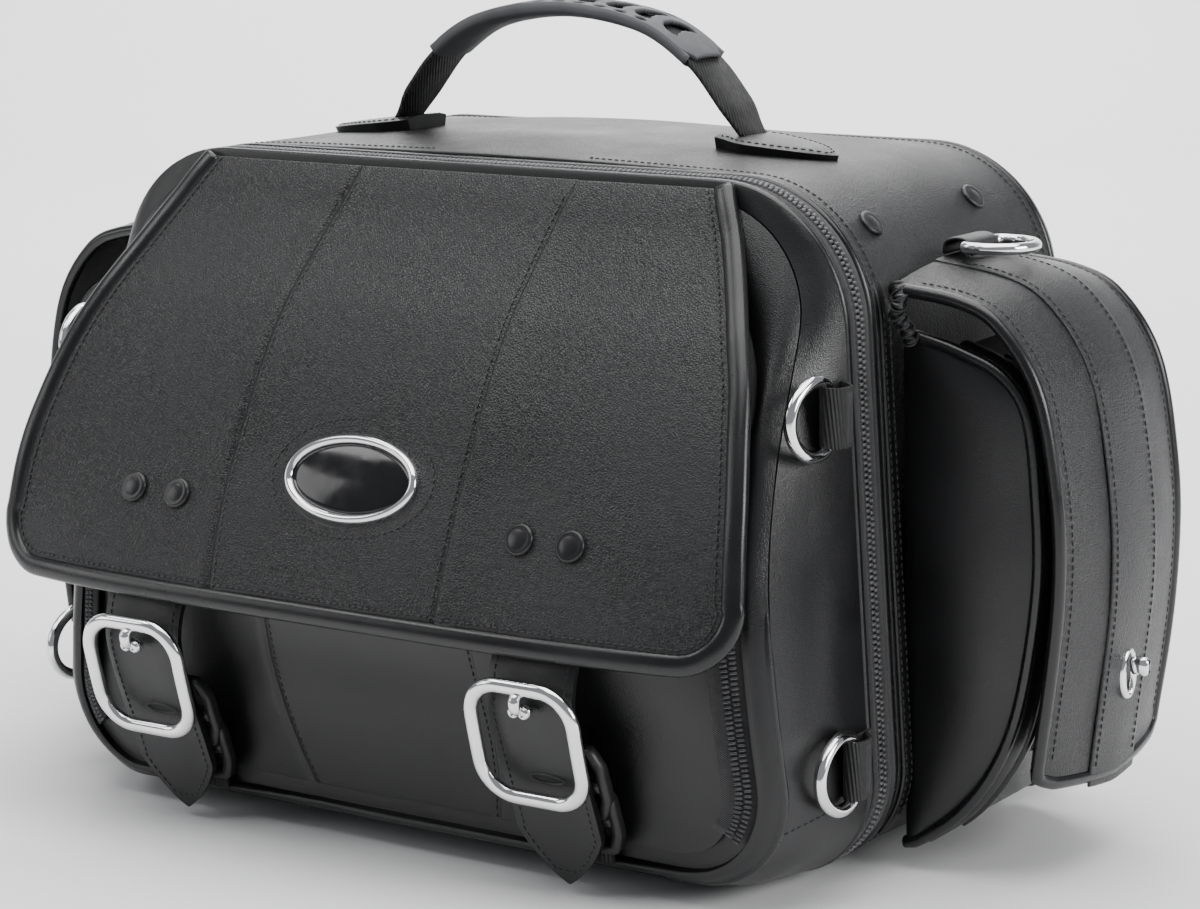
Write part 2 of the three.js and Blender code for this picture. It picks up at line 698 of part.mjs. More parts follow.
function clipSocket(side) {
  const { width, height, rail, depth, z } = CLIP;
  const back = box(-width / 2, width / 2, depth, depth + 2, -height / 2, height / 2 - 11);
  const rails = [-1, 1].map((s) => {
    const [a, b] = [(s * width) / 2, s * (width / 2 - rail)];
    return box(Math.min(a, b), Math.max(a, b), 0.6, depth + 1, -height / 2, height / 2 - 11);
  });
  const foot = box(-width / 2, width / 2, 0.6, depth + 1, -height / 2, -height / 2 + 4);
  const tab = box(-12.5, 12.5, depth - 1, depth + 1.2, -height / 2 - 14, -height / 2 + 2);
  return alongStrap(join(back, ...rails, foot, tab), side, z, -STRAP.thickness - 1.2);
}

for (const [side, label] of [[-1, 'left'], [1, 'right']]) {
  place(`flap_rivets_${label}`, rivetPair(side), 'rivet');
  place(`strap_${label}`, strap(side), 'leather');
  place(`buckle_${label}`, buckle(side), 'chrome');
  place(`clip_plug_${label}`, clipPlug(side), 'plastic');
  place(`clip_socket_${label}`, clipSocket(side), 'plastic');
}

// ---------------------------------------------------------------- tie-down rings

// A D-shaped ring in the plane Y-Z: its straight bar stands on the Z axis and it reaches to -Y.
function dRing() {
  const { halfHeight, reach, wire } = RING;
  const bow = Array.from({ length: 13 }, (_, i) => {
    const angle = -Math.PI / 2 + (Math.PI * i) / 12;
    return new THREE.Vector3(0, -4 - Math.cos(angle) * (reach - wire - 4), Math.sin(angle) * halfHeight);
  });
  const bar = [1, 0.35, -0.35, -1].map((t) => new THREE.Vector3(0, 0, t * (halfHeight - 1.4)));
  return ringBar([...bow, ...bar], wire, new THREE.Vector3(1, 0, 0), 6);
}

// A folded webbing tab, with the tunnel for the ring's bar at the origin. It runs back along +Y.
function ringLoop(length) {
  const { thickness } = RING_LOOP;
  const half = thickness / 2;
  const nose = arc(0, 0, half, 1.5 * Math.PI, 0.5 * Math.PI, 6).map((p) => new THREE.Vector2(p.y, -Math.abs(p.x)));
  const outline = [
    ...nose.map((p) => new THREE.Vector2(p.x, p.y)),
    new THREE.Vector2(half, length - half),
    new THREE.Vector2(-half, length - half),
  ];
  const shape = new THREE.Shape(outline);
  shape.holes.push(new THREE.Path(arc(0, 0, RING.wire + 0.35, 0, -Math.PI * 2 * (9 / 10), 9)));
  const geometry = new THREE.ExtrudeGeometry(shape, { depth: RING_WEBBING, bevelEnabled: false });
  geometry.translate(0, 0, -RING_WEBBING / 2);
  return geometry;
}

// Distance of the door gusset's outer face from the centre plane, at a depth and height.
function gussetHalf(y, z) {
  const t = THREE.MathUtils.clamp((y - RIM_Y) / (seamDepth(z) - RIM_Y), 0, 1);
  return THREE.MathUtils.lerp(halfWidthAt(CASE, z), halfWidthAt(SEAM, z), t);
}

for (const [side, sideLabel] of [[-1, 'left'], [1, 'right']]) {
  for (const [label, z] of Object.entries(RING_HEIGHTS)) {
    const reachY = RING_BAR_Y - RING.reach;
    const slope = Math.atan2(gussetHalf(RING_BAR_Y, z) - gussetHalf(reachY, z), RING.reach);
    const group = new THREE.Group();
    const clearance = RING_LOOP.thickness / 2 + RING_STANDOFF[label];
    group.position.set(side * (gussetHalf(RING_BAR_Y, z) + clearance), RING_BAR_Y, z);
    group.rotation.z = -side * slope;
    bag.add(group);
    place(`ring_${label}_${sideLabel}`, dRing(), 'chrome', group);
    place(`ring_loop_${label}_${sideLabel}`, ringLoop(RING_LOOP.length), 'webbing', group);
  }
}

// ---------------------------------------------------------------- side pockets

function sidePocketLine(steps = 26) {
  return splineThrough(SIDE_POCKET_LINE, steps);
}

// A flat end panel of a side pocket, between the case's wall and the pocket's outer line.
function sidePocketEnd(frontY) {
  const wall = (z) => halfWidthAt(CASE, Math.max(z, CASE.lowRadius)) + 0.8;
  const heights = [12, CASE.lowRadius, CASE.top - CASE.topRadius - 4];
  const inner = heights.map((z) => new THREE.Vector2(wall(z), z));
  const outline = [...inner, ...sidePocketLine()];
  return plate(outline, frontY, frontY + 3.5);
}

// The strap-like panel that wraps over, around and under a side pocket between its two ends.
function sidePocketWrap() {
  const wall = halfWidthAt(CASE, 225) + 0.8;
  const line = [new THREE.Vector2(wall, SIDE_POCKET.top), ...sidePocketLine()];
  const front = SIDE_POCKET.frontY + 3.5 + GAP;
  const back = SIDE_POCKET.backY - 3.5 - GAP;
  const depths = [0, 0.16, 0.5, 0.84, 1].map((t) => THREE.MathUtils.lerp(front, back, t));
  const bulge = [0, 0.6, 1, 0.6, 0];
  const rows = (distance) => depths.map((y, i) => {
    const shift = bulge[i] * SIDE_POCKET.bulge;
    return offsetLine(line, shift - distance).map((p, k) => {
      const x = k === 0 ? wall : p.x;
      return new THREE.Vector3(x, y, p.y);
    });
  });
  return sheet(rows(0), rows(SKIN));
}

for (const [side, label] of [[-1, 'left'], [1, 'right']]) {
  place(`side_pocket_front_${label}`, onSide(sidePocketEnd(SIDE_POCKET.frontY), side), 'leather');
  place(`side_pocket_rear_${label}`, onSide(sidePocketEnd(SIDE_POCKET.backY - 3.5), side), 'leather');
  place(`side_pocket_wrap_${label}`, onSide(sidePocketWrap(), side), 'leather');
}

// ---------------------------------------------------------------- side flaps and turn locks

const sideFlapLine = splineThrough(SIDE_FLAP_LINE, 18);

function sideFlapCrown(y) {
  const middle = (SIDE_FLAP.frontY + SIDE_FLAP.backY) / 2;
  const t = (y - middle) / ((SIDE_FLAP.backY - SIDE_FLAP.frontY) / 2);
  return SIDE_FLAP.crown * (1 - t * t);
}

// Point of the flap's outer line nearest to a height on its hanging stretch.
function sideFlapX(z, y) {
  const i = sideFlapLine.findIndex((p, k) => k > 6 && p.y <= z);
  const [a, b] = [sideFlapLine[i - 1], sideFlapLine[i]];
  return THREE.MathUtils.mapLinear(z, a.y, b.y, a.x, b.x) + sideFlapCrown(y);
}

// A vertical slot with round ends, as an outline in Y (first) and Z (second).
function slotOutline(width, height) {
  return roundedRectangle(width, height, width / 2 - 0.01, 5);
}

// A plate in the plane Y-Z from an outline in Y and Z, between two distances from the centre plane.
function sidePlate(outline, x0, x1, holes = []) {
  const geometry = plate(outline, -x1, -x0, holes);
  geometry.rotateZ(Math.PI / 2);
  return geometry;
}

function sideFlap() {
  const { frontY, backY, thickness } = SIDE_FLAP;
  const depths = [0, 0.08, 0.3, 0.5, 0.7, 0.92, 1].map((t) => THREE.MathUtils.lerp(frontY, backY, t));
  const rounding = [10, 2.5, 0, -5, 0, 2.5, 10];
  const rows = (distance) => depths.map((y, i) => {
    const line = offsetLine(sideFlapLine, sideFlapCrown(y) - distance);
    const end = line[line.length - 1];
    const before = line[line.length - 2];
    const along = new THREE.Vector2().subVectors(before, end).normalize();
    line[line.length - 1] = end.clone().addScaledVector(along, rounding[i]);
    line[0] = new THREE.Vector2(SIDE_FLAP_LINE[0][0] + 0.5, SIDE_FLAP_LINE[0][1] - distance);
    return line.map((p) => new THREE.Vector3(p.x, y, p.y));
  });
  const middle = lockY();
  const hole = sidePlate(slotOutline(LOCK.slotWidth + 1, LOCK.slotHeight + 1), 250, 300);
  hole.translate(0, middle, LOCK.z);
  return cut(sheet(rows(0), rows(thickness)), hole);
}

function lockY() {
  return (SIDE_FLAP.frontY + SIDE_FLAP.backY) / 2;
}

// How far the flap leans from upright at the lock, as an angle about Y.
function lockLean() {
  const step = 8;
  return Math.atan2(sideFlapX(LOCK.z + step, lockY()) - sideFlapX(LOCK.z - step, lockY()), 2 * step);
}

function lockPlate() {
  const geometry = sidePlate(
    roundedRectangle(LOCK.plateWidth, LOCK.plateHeight, LOCK.plateWidth / 2 - 0.01, 6),
    0.5, 2.2, [slotOutline(LOCK.slotWidth, LOCK.slotHeight)],
  );
  geometry.rotateY(lockLean());
  geometry.translate(sideFlapX(LOCK.z, lockY()) + 0.2, lockY(), LOCK.z);
  return geometry;
}

// The turning paddle: a stem from the pocket through the flap, and a flat paddle outside it.
function lockKnob() {
  const outside = sideFlapX(LOCK.z, lockY()) + 3.2;
  const pocketX = 258.6 + SIDE_POCKET.bulge + 1.6;
  const top = LOCK.z + LOCK.slotHeight / 2 - 1;
  const centre = top - LOCK.paddleHeight / 2;
  const stem = new THREE.CylinderGeometry(2.1, 2.1, outside + 3 - pocketX, 10);
  stem.rotateZ(Math.PI / 2);
  stem.translate((outside + 3 + pocketX) / 2, lockY(), centre);
  const half = LOCK.paddleHeight / 2;
  const paddle = box(outside, outside + LOCK.paddleReach, lockY() - 1.6, lockY() + 1.6, centre - half, centre + half);
  return join(stem, paddle);
}

for (const [side, label] of [[-1, 'left'], [1, 'right']]) {
  place(`side_flap_${label}`, onSide(sideFlap(), side), 'leather');
  place(`lock_plate_${label}`, onSide(lockPlate(), side), 'chrome');
  place(`lock_knob_${label}`, onSide(lockKnob(), side), 'chrome');
}

// The ring over each side flap lies outwards along the flap, its bar along Y.
const SIDE_RING = { x: 208, z: 260.8, loopLength: 16 };

for (const [side, label] of [[-1, 'left'], [1, 'right']]) {
  const group = new THREE.Group();
  group.position.set(side * SIDE_RING.x, lockY(), SIDE_RING.z);
  group.rotation.z = side * (Math.PI / 2);
  bag.add(group);
  const tilt = new THREE.Group();
  tilt.rotation.y = Math.PI / 2;
  group.add(tilt);
  place(`side_ring_${label}`, dRing(), 'chrome', tilt);
  place(`side_ring_loop_${label}`, ringLoop(SIDE_RING.loopLength), 'webbing', tilt);
}

// ---------------------------------------------------------------- handle

function handleLine() {
  const { footX, footZ, topZ } = HANDLE;
  const half = [[footX, footZ], [footX - 9, footZ + 13], [footX - 24, footZ + 29], [footX - 50, topZ - 6], [0, topZ]];
  const pairs = [...half.map(([x, z]) => [-x, z]), ...half.slice(0, -1).reverse()];
  return splineThrough(pairs, 32);
}

// A band along the handle's line. Below the pivot it narrows in a half circle about the pivot, so
// that the handle can tilt over its patches.
function handleBand(line, below, above, width) {
  const half = (z) => Math.sqrt((width / 2) ** 2 - Math.max(HANDLE.pivotZ - z, 0) ** 2);
  const outer = offsetLine(line, above);
  const inner = offsetLine(line, below);
  const rows = (points) => [-1, 1].map((side) => points.map((p, i) => (
    new THREE.Vector3(p.x, HANDLE.y + side * half(line[i].y), p.y)
  )));
  return sheet(rows(outer), rows(inner));
}

function gripBand() {
  const line = handleLine().filter((p) => Math.abs(p.x) < GRIP.halfLength);
  return handleBand(line, HANDLE.thickness / 2 + GAP, HANDLE.thickness / 2 + GAP + GRIP.thickness, GRIP.width);
}

function handlePatch() {
  const half = 20;
  const outline = [
    new THREE.Vector2(84, -half * 0.75),
    new THREE.Vector2(112, -half),
    ...arc(122, 0, 16, -Math.PI / 2.6, Math.PI / 2.6, 6),
    new THREE.Vector2(112, half),
    new THREE.Vector2(84, half * 0.75),
  ];
  const geometry = new THREE.ExtrudeGeometry(new THREE.Shape(outline), { depth: 3, bevelEnabled: false });
  geometry.translate(-84, HANDLE.y, 0);
  geometry.rotateY(0.045);
  geometry.translate(84, 0, 299.6);
  return geometry;
}

place('handle_strap', handleBand(handleLine(), -HANDLE.thickness / 2, HANDLE.thickness / 2, HANDLE.webbing), 'webbing');
place('handle_grip', gripBand(), 'rubber');
place('handle_patch_right', handlePatch(), 'leather');
place('handle_patch_left', mirrored(handlePatch()), 'leather');

// ---------------------------------------------------------------- zip sliders and pulls

const sideLean = Math.atan2(CASE.half - CASE.shoulder, CASE.top - CASE.topRadius - CASE.lowRadius);

// A slider on the outside of a vertical run of zip, facing +X, with the bail its pull hangs from.
function slider() {
  const body = box(0, 4, -5.5, 5.5, -8, 8);
  const bail = box(3, 7, -1.5, 1.5, -3, 5);
  return join(body, bail);
}

// A leather pull with its wire link, which swings about its own top bar at the origin.
function pull() {
  const link = ringBar(
    roundedRectangle(8, 14, 3.5, 3).map((p) => new THREE.Vector3(0, p.x, p.y - 7)),
    0.9, new THREE.Vector3(1, 0, 0), 6,
  );
  const tab = box(-1.4, 1.4, -6, 6, -34, -13.2);
  return join(link, tab);
}

const MAIN_SLIDERS = { a: 95, b: 40 };

for (const [label, z] of Object.entries(MAIN_SLIDERS)) {
  const group = new THREE.Group();
  group.position.set(-halfWidthAt(CASE, z) - 0.4, SPLIT_Y, z);
  group.rotation.y = sideLean;
  bag.add(group);
  const facing = new THREE.Group();
  facing.rotation.z = Math.PI;
  group.add(facing);
  place(`main_slider_${label}`, slider(), 'chrome', facing);
  const hang = new THREE.Group();
  hang.position.set(-8.4, 0, 0);
  group.add(hang);
  place(`main_pull_${label}`, pull(), 'leather', hang);
}

export default bag;
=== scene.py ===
"""Motorcycle tail bag: the visual model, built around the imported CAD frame.

Shapes are worked out in millimetres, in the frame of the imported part, and scaled to metres as each
mesh is made.
"""
import json
import math

import bpy
import numpy as np
from mathutils import Matrix, Vector, noise
from mathutils.bvhtree import BVHTree


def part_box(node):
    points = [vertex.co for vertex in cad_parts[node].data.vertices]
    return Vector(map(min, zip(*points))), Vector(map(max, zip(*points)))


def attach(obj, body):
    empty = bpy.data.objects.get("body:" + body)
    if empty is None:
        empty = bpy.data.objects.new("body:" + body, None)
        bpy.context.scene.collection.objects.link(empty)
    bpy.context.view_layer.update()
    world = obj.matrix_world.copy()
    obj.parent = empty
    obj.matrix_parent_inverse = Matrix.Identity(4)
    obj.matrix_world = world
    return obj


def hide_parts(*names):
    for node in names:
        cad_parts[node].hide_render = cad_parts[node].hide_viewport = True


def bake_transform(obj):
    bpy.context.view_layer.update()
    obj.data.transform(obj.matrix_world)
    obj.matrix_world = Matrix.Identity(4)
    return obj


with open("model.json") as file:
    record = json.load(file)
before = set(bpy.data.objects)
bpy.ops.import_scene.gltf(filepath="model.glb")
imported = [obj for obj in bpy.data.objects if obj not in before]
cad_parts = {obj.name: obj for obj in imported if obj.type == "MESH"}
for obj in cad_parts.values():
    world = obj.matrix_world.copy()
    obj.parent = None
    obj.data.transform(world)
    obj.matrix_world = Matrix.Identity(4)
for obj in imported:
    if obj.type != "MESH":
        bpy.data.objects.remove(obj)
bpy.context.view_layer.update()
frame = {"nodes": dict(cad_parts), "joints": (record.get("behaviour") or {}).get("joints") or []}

MM = 0.001

# ------------------------------------------------------------------ shared dimensions (mm)

# Outlines seen from the front. half and shoulder are the half widths low down and high up, low and
# high the corner radii, bottom and top the heights.
CASE = dict(half=206, shoulder=194, bottom=0, top=292, low=45, high=62)
FOLD = dict(half=202, shoulder=182, bottom=9, top=285, low=45, high=56)
FLAP = dict(half=196, shoulder=184, bottom=107, top=302, low=26, high=100, edge=0)
CASE_FRONT, CASE_BACK = -67.3, 92.0
SPLIT, RIM = -80.0, -90.0  # depths of the main zip's middle and of the door's rim
CORD = 2.4
PIPING = 2.7  # radius of most of the piping

# Profiles. Those of the seam, flap, face and strap are (height, depth), the flap's edge is (height,
# half width), and those of the side pocket and side flap are (x, height).
SEAM_LINE = [(9, -147), (50, -151), (110, -152.5), (150, -147), (190, -132), (215, -118), (240, -105),
             (266, -97.5), (286, -94)]
FLAP_EDGE = [(133, 196), (153, 194), (175, 190.5), (212, 181), (230, 173.5), (248, 164.5), (266, 155),
             (292, 140)]
FLAP_LINE = [(291, -94.5), (283, -100.5), (270, -108.5), (250, -123), (230, -138), (200, -156), (170, -170),
             (150, -179.5), (120, -192.5), (107, -196)]
FACE_LINE = [(20, -153), (45, -158), (70, -165), (95, -175), (110, -178.5), (125, -175.5), (150, -164.5),
             (170, -156.5), (200, -146), (230, -128), (258, -106)]
STRAP_LINE = [(166, -164.5), (150, -170.5), (120, -182), (107, -186.5), (98, -190), (84, -191),
              (60, -183.5), (30, -172), (4, -164)]
SIDE_POCKET_LINE = [(224, 224.5), (246, 216), (259, 200), (264, 165), (265, 128), (258, 80), (247, 50),
                    (230, 27), (210, 12)]
SIDE_FLAP_LINE = [(197, 250), (228, 246), (247, 237), (265, 211), (274, 167), (276, 126), (272, 84),
                  (267, 45)]
STRAP_X = 104
FLAP_ROOT = 289  # height at which the flap turns over to its root seam
SAG = 20  # how far the soft lower left of the door sags in
CLIP_OFFSET = 5  # the clips sit a little to the +X side of their straps
BENDING_FLAP = ("front_door", "front_flap")  # the flap's skin, binding and stitches are baked in place and attached to no body
STRAP_HALF = 21
BADGE_Z = 166
BADGE_HALF_HEIGHT = 19.5
BUCKLE_Z = 72
BUCKLE_HALF_HEIGHT = 29
BUCKLE_WIRE = 3.3
BUCKLE_CORNER = 15
RIVET_Z, RIVET_STEP = 151.6, 12.6
RING_WIRE, SIDE_RING_WIRE = 2.7, 2.5
POCKET_FRONT, POCKET_BACK = -57.0, 50.0  # depths of a side pocket's two panels
MAIN_TEETH = dict(pitch=2.5, reach=2.9, height=1.7, lap=-0.25)
POCKET_TEETH = dict(pitch=2.1, reach=3.5, height=1.6, lap=-0.35)

# The photo's viewpoint: place in metres, angles in degrees, lens in mm.
CAMERA = dict(place=(0.8845, -1.2827, 0.4490), azimuth=34.18, elevation=11.02, roll=-0.56, lens=102.84,
              shift=(-0.0057, 0.0046))
# Each light: where it is, what it points at, its width and its power.
LIGHTS = dict(key_top=((0.2, -0.1, 2.3), (0, 0.1, 0.1), 2.6, 77),
              sheen=((-1.3, -0.95, 1.75), (0.1, -0.1, 0.22), 0.75, 8),
              key_right=((2.5, 0.3, 1.1), (0.1, 0, 0.15), 1.4, 50),
              fill_left=((-2.2, -1.6, 1.0), (0, -0.1, 0.15), 1.2, 10),
              wash_back=((-0.9, 1.4, 2.6), (-1.6, 2.6, 0.9), 1.8, 120))


# ------------------------------------------------------------------ lines and outlines

def box_mm(node):
    """A CAD node's lowest and highest corners in mm."""
    return [[c / MM for c in corner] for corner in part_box(node)]


def lerp(a, b, t):
    return a + (b - a) * t


def smooth(x, low, high):
    t = np.clip((x - low) / (high - low), 0, 1)
    return t * t * (3 - 2 * t)


def depth_on(line):
    """A function giving the depth at a height, on a smooth line through (height, depth) pairs."""
    points = sorted(line)
    zs = np.array([p[0] for p in points], float)
    ys = np.array([p[1] for p in points], float)
    slopes = np.empty(len(zs))
    slopes[1:-1] = (ys[2:] - ys[:-2]) / (zs[2:] - zs[:-2])
    slopes[0] = (ys[1] - ys[0]) / (zs[1] - zs[0])
    slopes[-1] = (ys[-1] - ys[-2]) / (zs[-1] - zs[-2])

    def depth(z):
        z = np.clip(np.asarray(z, float), zs[0], zs[-1])
        i = np.clip(np.searchsorted(zs, z, side="right") - 1, 0, len(zs) - 2)
        span = zs[i + 1] - zs[i]
        t = (z - zs[i]) / span
        return ((2 * t**3 - 3 * t**2 + 1) * ys[i] + (t**3 - 2 * t**2 + t) * slopes[i] * span
                + (-2 * t**3 + 3 * t**2) * ys[i + 1] + (t**3 - t**2) * slopes[i + 1] * span)
    return depth


seam_depth = depth_on(SEAM_LINE)
flap_depth = depth_on(FLAP_LINE)
face_depth = depth_on(FACE_LINE)
strap_depth = depth_on(STRAP_LINE)
flap_edge = depth_on(FLAP_EDGE)


def inset(o, d):
    """An outline moved in by d on every side, or out if d is negative."""
    smaller = dict(half=o["half"] - d, shoulder=o["shoulder"] - d, bottom=o["bottom"] + d, top=o["top"] - d,
                   low=o["low"] - d, high=o["high"] - d)
    if "edge" in o:
        smaller["edge"] = o["edge"] + d
    return smaller


def half_width(o, z):
    """An outline's half width at a height."""
    low_z, high_z = o["bottom"] + o["low"], o["top"] - o["high"]
    if z < low_z:
        return o["half"] - o["low"] + math.sqrt(max(o["low"] ** 2 - (low_z - z) ** 2, 0))
    if "edge" in o:
        return float(flap_edge(z)) - o["edge"] * 1.12
    if z > high_z:
        return o["shoulder"] - o["high"] + math.sqrt(max(o["high"] ** 2 - (z - high_z) ** 2, 0))
    return lerp(o["half"], o["shoulder"], (z - low_z) / (high_z - low_z))


def right_side(o, corner=9, side=18):
    """Right half of an outline, from the end of its flat bottom to the start of its flat top."""
    low = [(o["half"] - o["low"] + math.sin(a) * o["low"], o["bottom"] + o["low"] - math.cos(a) * o["low"])
           for a in np.linspace(0, math.pi / 2, corner)]
    if "edge" in o:
        return low + [(half_width(o, z), z) for z in np.linspace(low[-1][1], FLAP_ROOT, side * 2)[1:]]
    high = [(o["shoulder"] - o["high"] + math.cos(a) * o["high"],
             o["top"] - o["high"] + math.sin(a) * o["high"])
            for a in np.linspace(0, math.pi / 2, corner + 2)]
    straight = [(lerp(low[-1][0], high[0][0], t), lerp(low[-1][1], high[0][1], t))
                for t in np.linspace(0, 1, side)[1:-1]]
    return low + straight + high


def arch(o, top=14, **detail):
    """Up one side of an outline, across its top and down the other side."""
    right = right_side(o, **detail)
    x = right[-1][0]
    middle = [(lerp(x, -x, t), o["top"]) for t in np.linspace(0, 1, top)[1:-1]]
    return np.array(right + middle + [(-a, b) for a, b in reversed(right)])


def ring(o, top=14, bottom=16, **detail):
    """A whole outline, closed along its flat bottom."""
    line = arch(o, top, **detail)
    x = line[-1][0]
    floor = np.array([(lerp(x, -x, t), o["bottom"]) for t in np.linspace(0, 1, bottom)[1:-1]])
    return np.vstack([line, floor])


def at_depth(outline, depth):
    """Outline points (x, z) as (x, y, z)."""
    y = depth(outline[:, 1]) if callable(depth) else np.full(len(outline), float(depth))
    return np.column_stack([outline[:, 0], y, outline[:, 1]])


def spline(points, count, closed=False):
    """Points at equal steps along a smooth line through the given points."""
    p = np.array(points, float)
    n = len(p)
    padded = np.vstack([p[-1], p, p[0], p[1]]) if closed else np.vstack([2 * p[0] - p[1], p,
                                                                         2 * p[-1] - p[-2]])
    fine = []
    for i in range(n if closed else n - 1):
        a, b, c, d = padded[i:i + 4]
        for t in np.linspace(0, 1, 14, endpoint=False):
            fine.append(0.5 * (2 * b + (c - a) * t + (2 * a - 5 * b + 4 * c - d) * t**2
                               + (3 * b - a - 3 * c + d) * t**3))
    fine.append(p[0] if closed else p[-1])
    return resample(np.array(fine), count, closed)


def resample(points, count, closed=False):
    """Points at equal steps along a chain of straight lines."""
    points = np.asarray(points, float)
    if closed and np.linalg.norm(points[0] - points[-1]) > 1e-6:
        points = np.vstack([points, points[:1]])
    steps = np.linalg.norm(np.diff(points, axis=0), axis=1)
    length = np.concatenate([[0], np.cumsum(steps)])
    wanted = np.linspace(0, length[-1], count, endpoint=not closed)
    return np.column_stack([np.interp(wanted, length, points[:, k]) for k in range(points.shape[1])])


def line_length(points):
    return float(np.sum(np.linalg.norm(np.diff(np.asarray(points, float), axis=0), axis=1)))


def unit(v):
    return v / np.maximum(np.linalg.norm(v, axis=-1, keepdims=True), 1e-9)


def grid_normals(rows, loop=False):
    down = np.gradient(rows, axis=0)
    if loop:
        along = (np.roll(rows, -1, axis=1) - np.roll(rows, 1, axis=1)) / 2
    else:
        along = np.gradient(rows, axis=1)
    return unit(np.cross(along, down))


def ripple(points, size, seed=0.0):
    """Soft random relief, from -1 to 1, at each point."""
    flat = np.asarray(points).reshape(-1, 3)
    values = [noise.noise(Vector(p) / size + Vector((seed, seed * 1.7, -seed))) for p in flat]
    return np.array(values).reshape(np.asarray(points).shape[:-1])


# ------------------------------------------------------------------ materials


def node_material(name):
    look = bpy.data.materials.new(name)
    look.use_nodes = True
    tree = look.node_tree
    place = tree.nodes.new("ShaderNodeTexCoord")
    return look, tree, tree.nodes["Principled BSDF"], place.outputs["Object"]


def noise_node(tree, place, scale, detail=4.0, distortion=0.0, roughness=0.5):
    node = tree.nodes.new("ShaderNodeTexNoise")
    node.inputs["Scale"].default_value = scale
    node.inputs["Detail"].default_value = detail
    node.inputs["Distortion"].default_value = distortion
    node.inputs["Roughness"].default_value = roughness
    tree.links.new(place, node.inputs["Vector"])
    return node.outputs["Fac"]


def math_node(tree, operation, a, b):
    node = tree.nodes.new("ShaderNodeMath")
    node.operation = operation
    for socket, value in zip(node.inputs, (a, b)):
        if isinstance(value, (int, float)):
            socket.default_value = value
        else:
            tree.links.new(value, socket)
    return node.outputs[0]


def ramp(tree, value, stops):
    node = tree.nodes.new("ShaderNodeValToRGB")
    elements = node.color_ramp.elements
    while len(elements) < len(stops):
        elements.new(0.5)
    for element, (position, color) in zip(elements, stops):
        element.position = position
        element.color = (*color, 1)
    tree.links.new(value, node.inputs["Fac"])
    return node.outputs["Color"]


def bump(tree, shader, height, strength, distance):
    node = tree.nodes.new("ShaderNodeBump")
    node.inputs["Strength"].default_value = strength
    node.inputs["Distance"].default_value = distance
    tree.links.new(height, node.inputs["Height"])
    tree.links.new(node.outputs["Normal"], shader.inputs["Normal"])


def map_range(tree, value, low, high):
    node = tree.nodes.new("ShaderNodeMapRange")
    node.inputs["From Min"].default_value = 0.3
    node.inputs["From Max"].default_value = 0.7
    node.inputs["To Min"].default_value = low
    node.inputs["To Max"].default_value = high
    tree.links.new(value, node.inputs["Value"])
    return node.outputs["Result"]


def mottle(tree, shader, place, scale, dark, light):
    """A base colour that wanders between two close tones."""
    tone = ramp(tree, noise_node(tree, place, scale), [(0.3, dark), (0.7, light)])
    tree.links.new(tone, shader.inputs["Base Color"])


def leather(name, dark, light, gloss, cell, depth):
    """Black leather: pebbled cells, fine creases between them, uneven polish and rubbed edges."""
    look, tree, shader, place = node_material(name)
    cells = tree.nodes.new("ShaderNodeTexVoronoi")
    cells.feature = "DISTANCE_TO_EDGE"
    cells.inputs["Scale"].default_value = 1 / (cell * MM)
    warp = tree.nodes.new("ShaderNodeVectorMath")
    warp.operation = "MULTIPLY_ADD"
    wander = tree.nodes.new("ShaderNodeTexNoise")
    wander.inputs["Scale"].default_value = 0.35 / (cell * MM)
    tree.links.new(place, wander.inputs["Vector"])
    tree.links.new(wander.outputs["Color"], warp.inputs[0])
    warp.inputs[1].default_value = (1.6 * cell * MM,) * 3
    tree.links.new(place, warp.inputs[2])
    tree.links.new(warp.outputs["Vector"], cells.inputs["Vector"])
    pebbles = math_node(tree, "MINIMUM", cells.outputs["Distance"], 0.28)
    creases = noise_node(tree, place, 150, detail=5, distortion=1.2, roughness=0.62)
    fine = noise_node(tree, place, 1800, detail=2)
    height = math_node(tree, "ADD", pebbles, math_node(tree, "MULTIPLY", creases, 0.55))
    height = math_node(tree, "ADD", height, math_node(tree, "MULTIPLY", fine, 0.08))
    bump(tree, shader, height, depth, 0.0009)
    patches = noise_node(tree, place, 22, detail=3)
    tone = ramp(tree, patches, [(0.3, dark), (0.72, light)])
    worn = tree.nodes.new("ShaderNodeMix")
    worn.data_type = "RGBA"
    geometry = tree.nodes.new("ShaderNodeNewGeometry")
    edge = ramp(tree, geometry.outputs["Pointiness"], [(0.54, (0, 0, 0)), (0.62, (1, 1, 1))])
    tree.links.new(math_node(tree, "MULTIPLY", edge, 0.35), worn.inputs["Factor"])
    tree.links.new(tone, worn.inputs[6])
    worn.inputs[7].default_value = (light[0] * 2.6, light[1] * 2.6, light[2] * 2.7, 1)
    tree.links.new(worn.outputs[2], shader.inputs["Base Color"])
    tree.links.new(map_range(tree, patches, gloss - 0.06, gloss + 0.08), shader.inputs["Roughness"])
    shader.inputs["Specular IOR Level"].default_value = 0.5
    return look


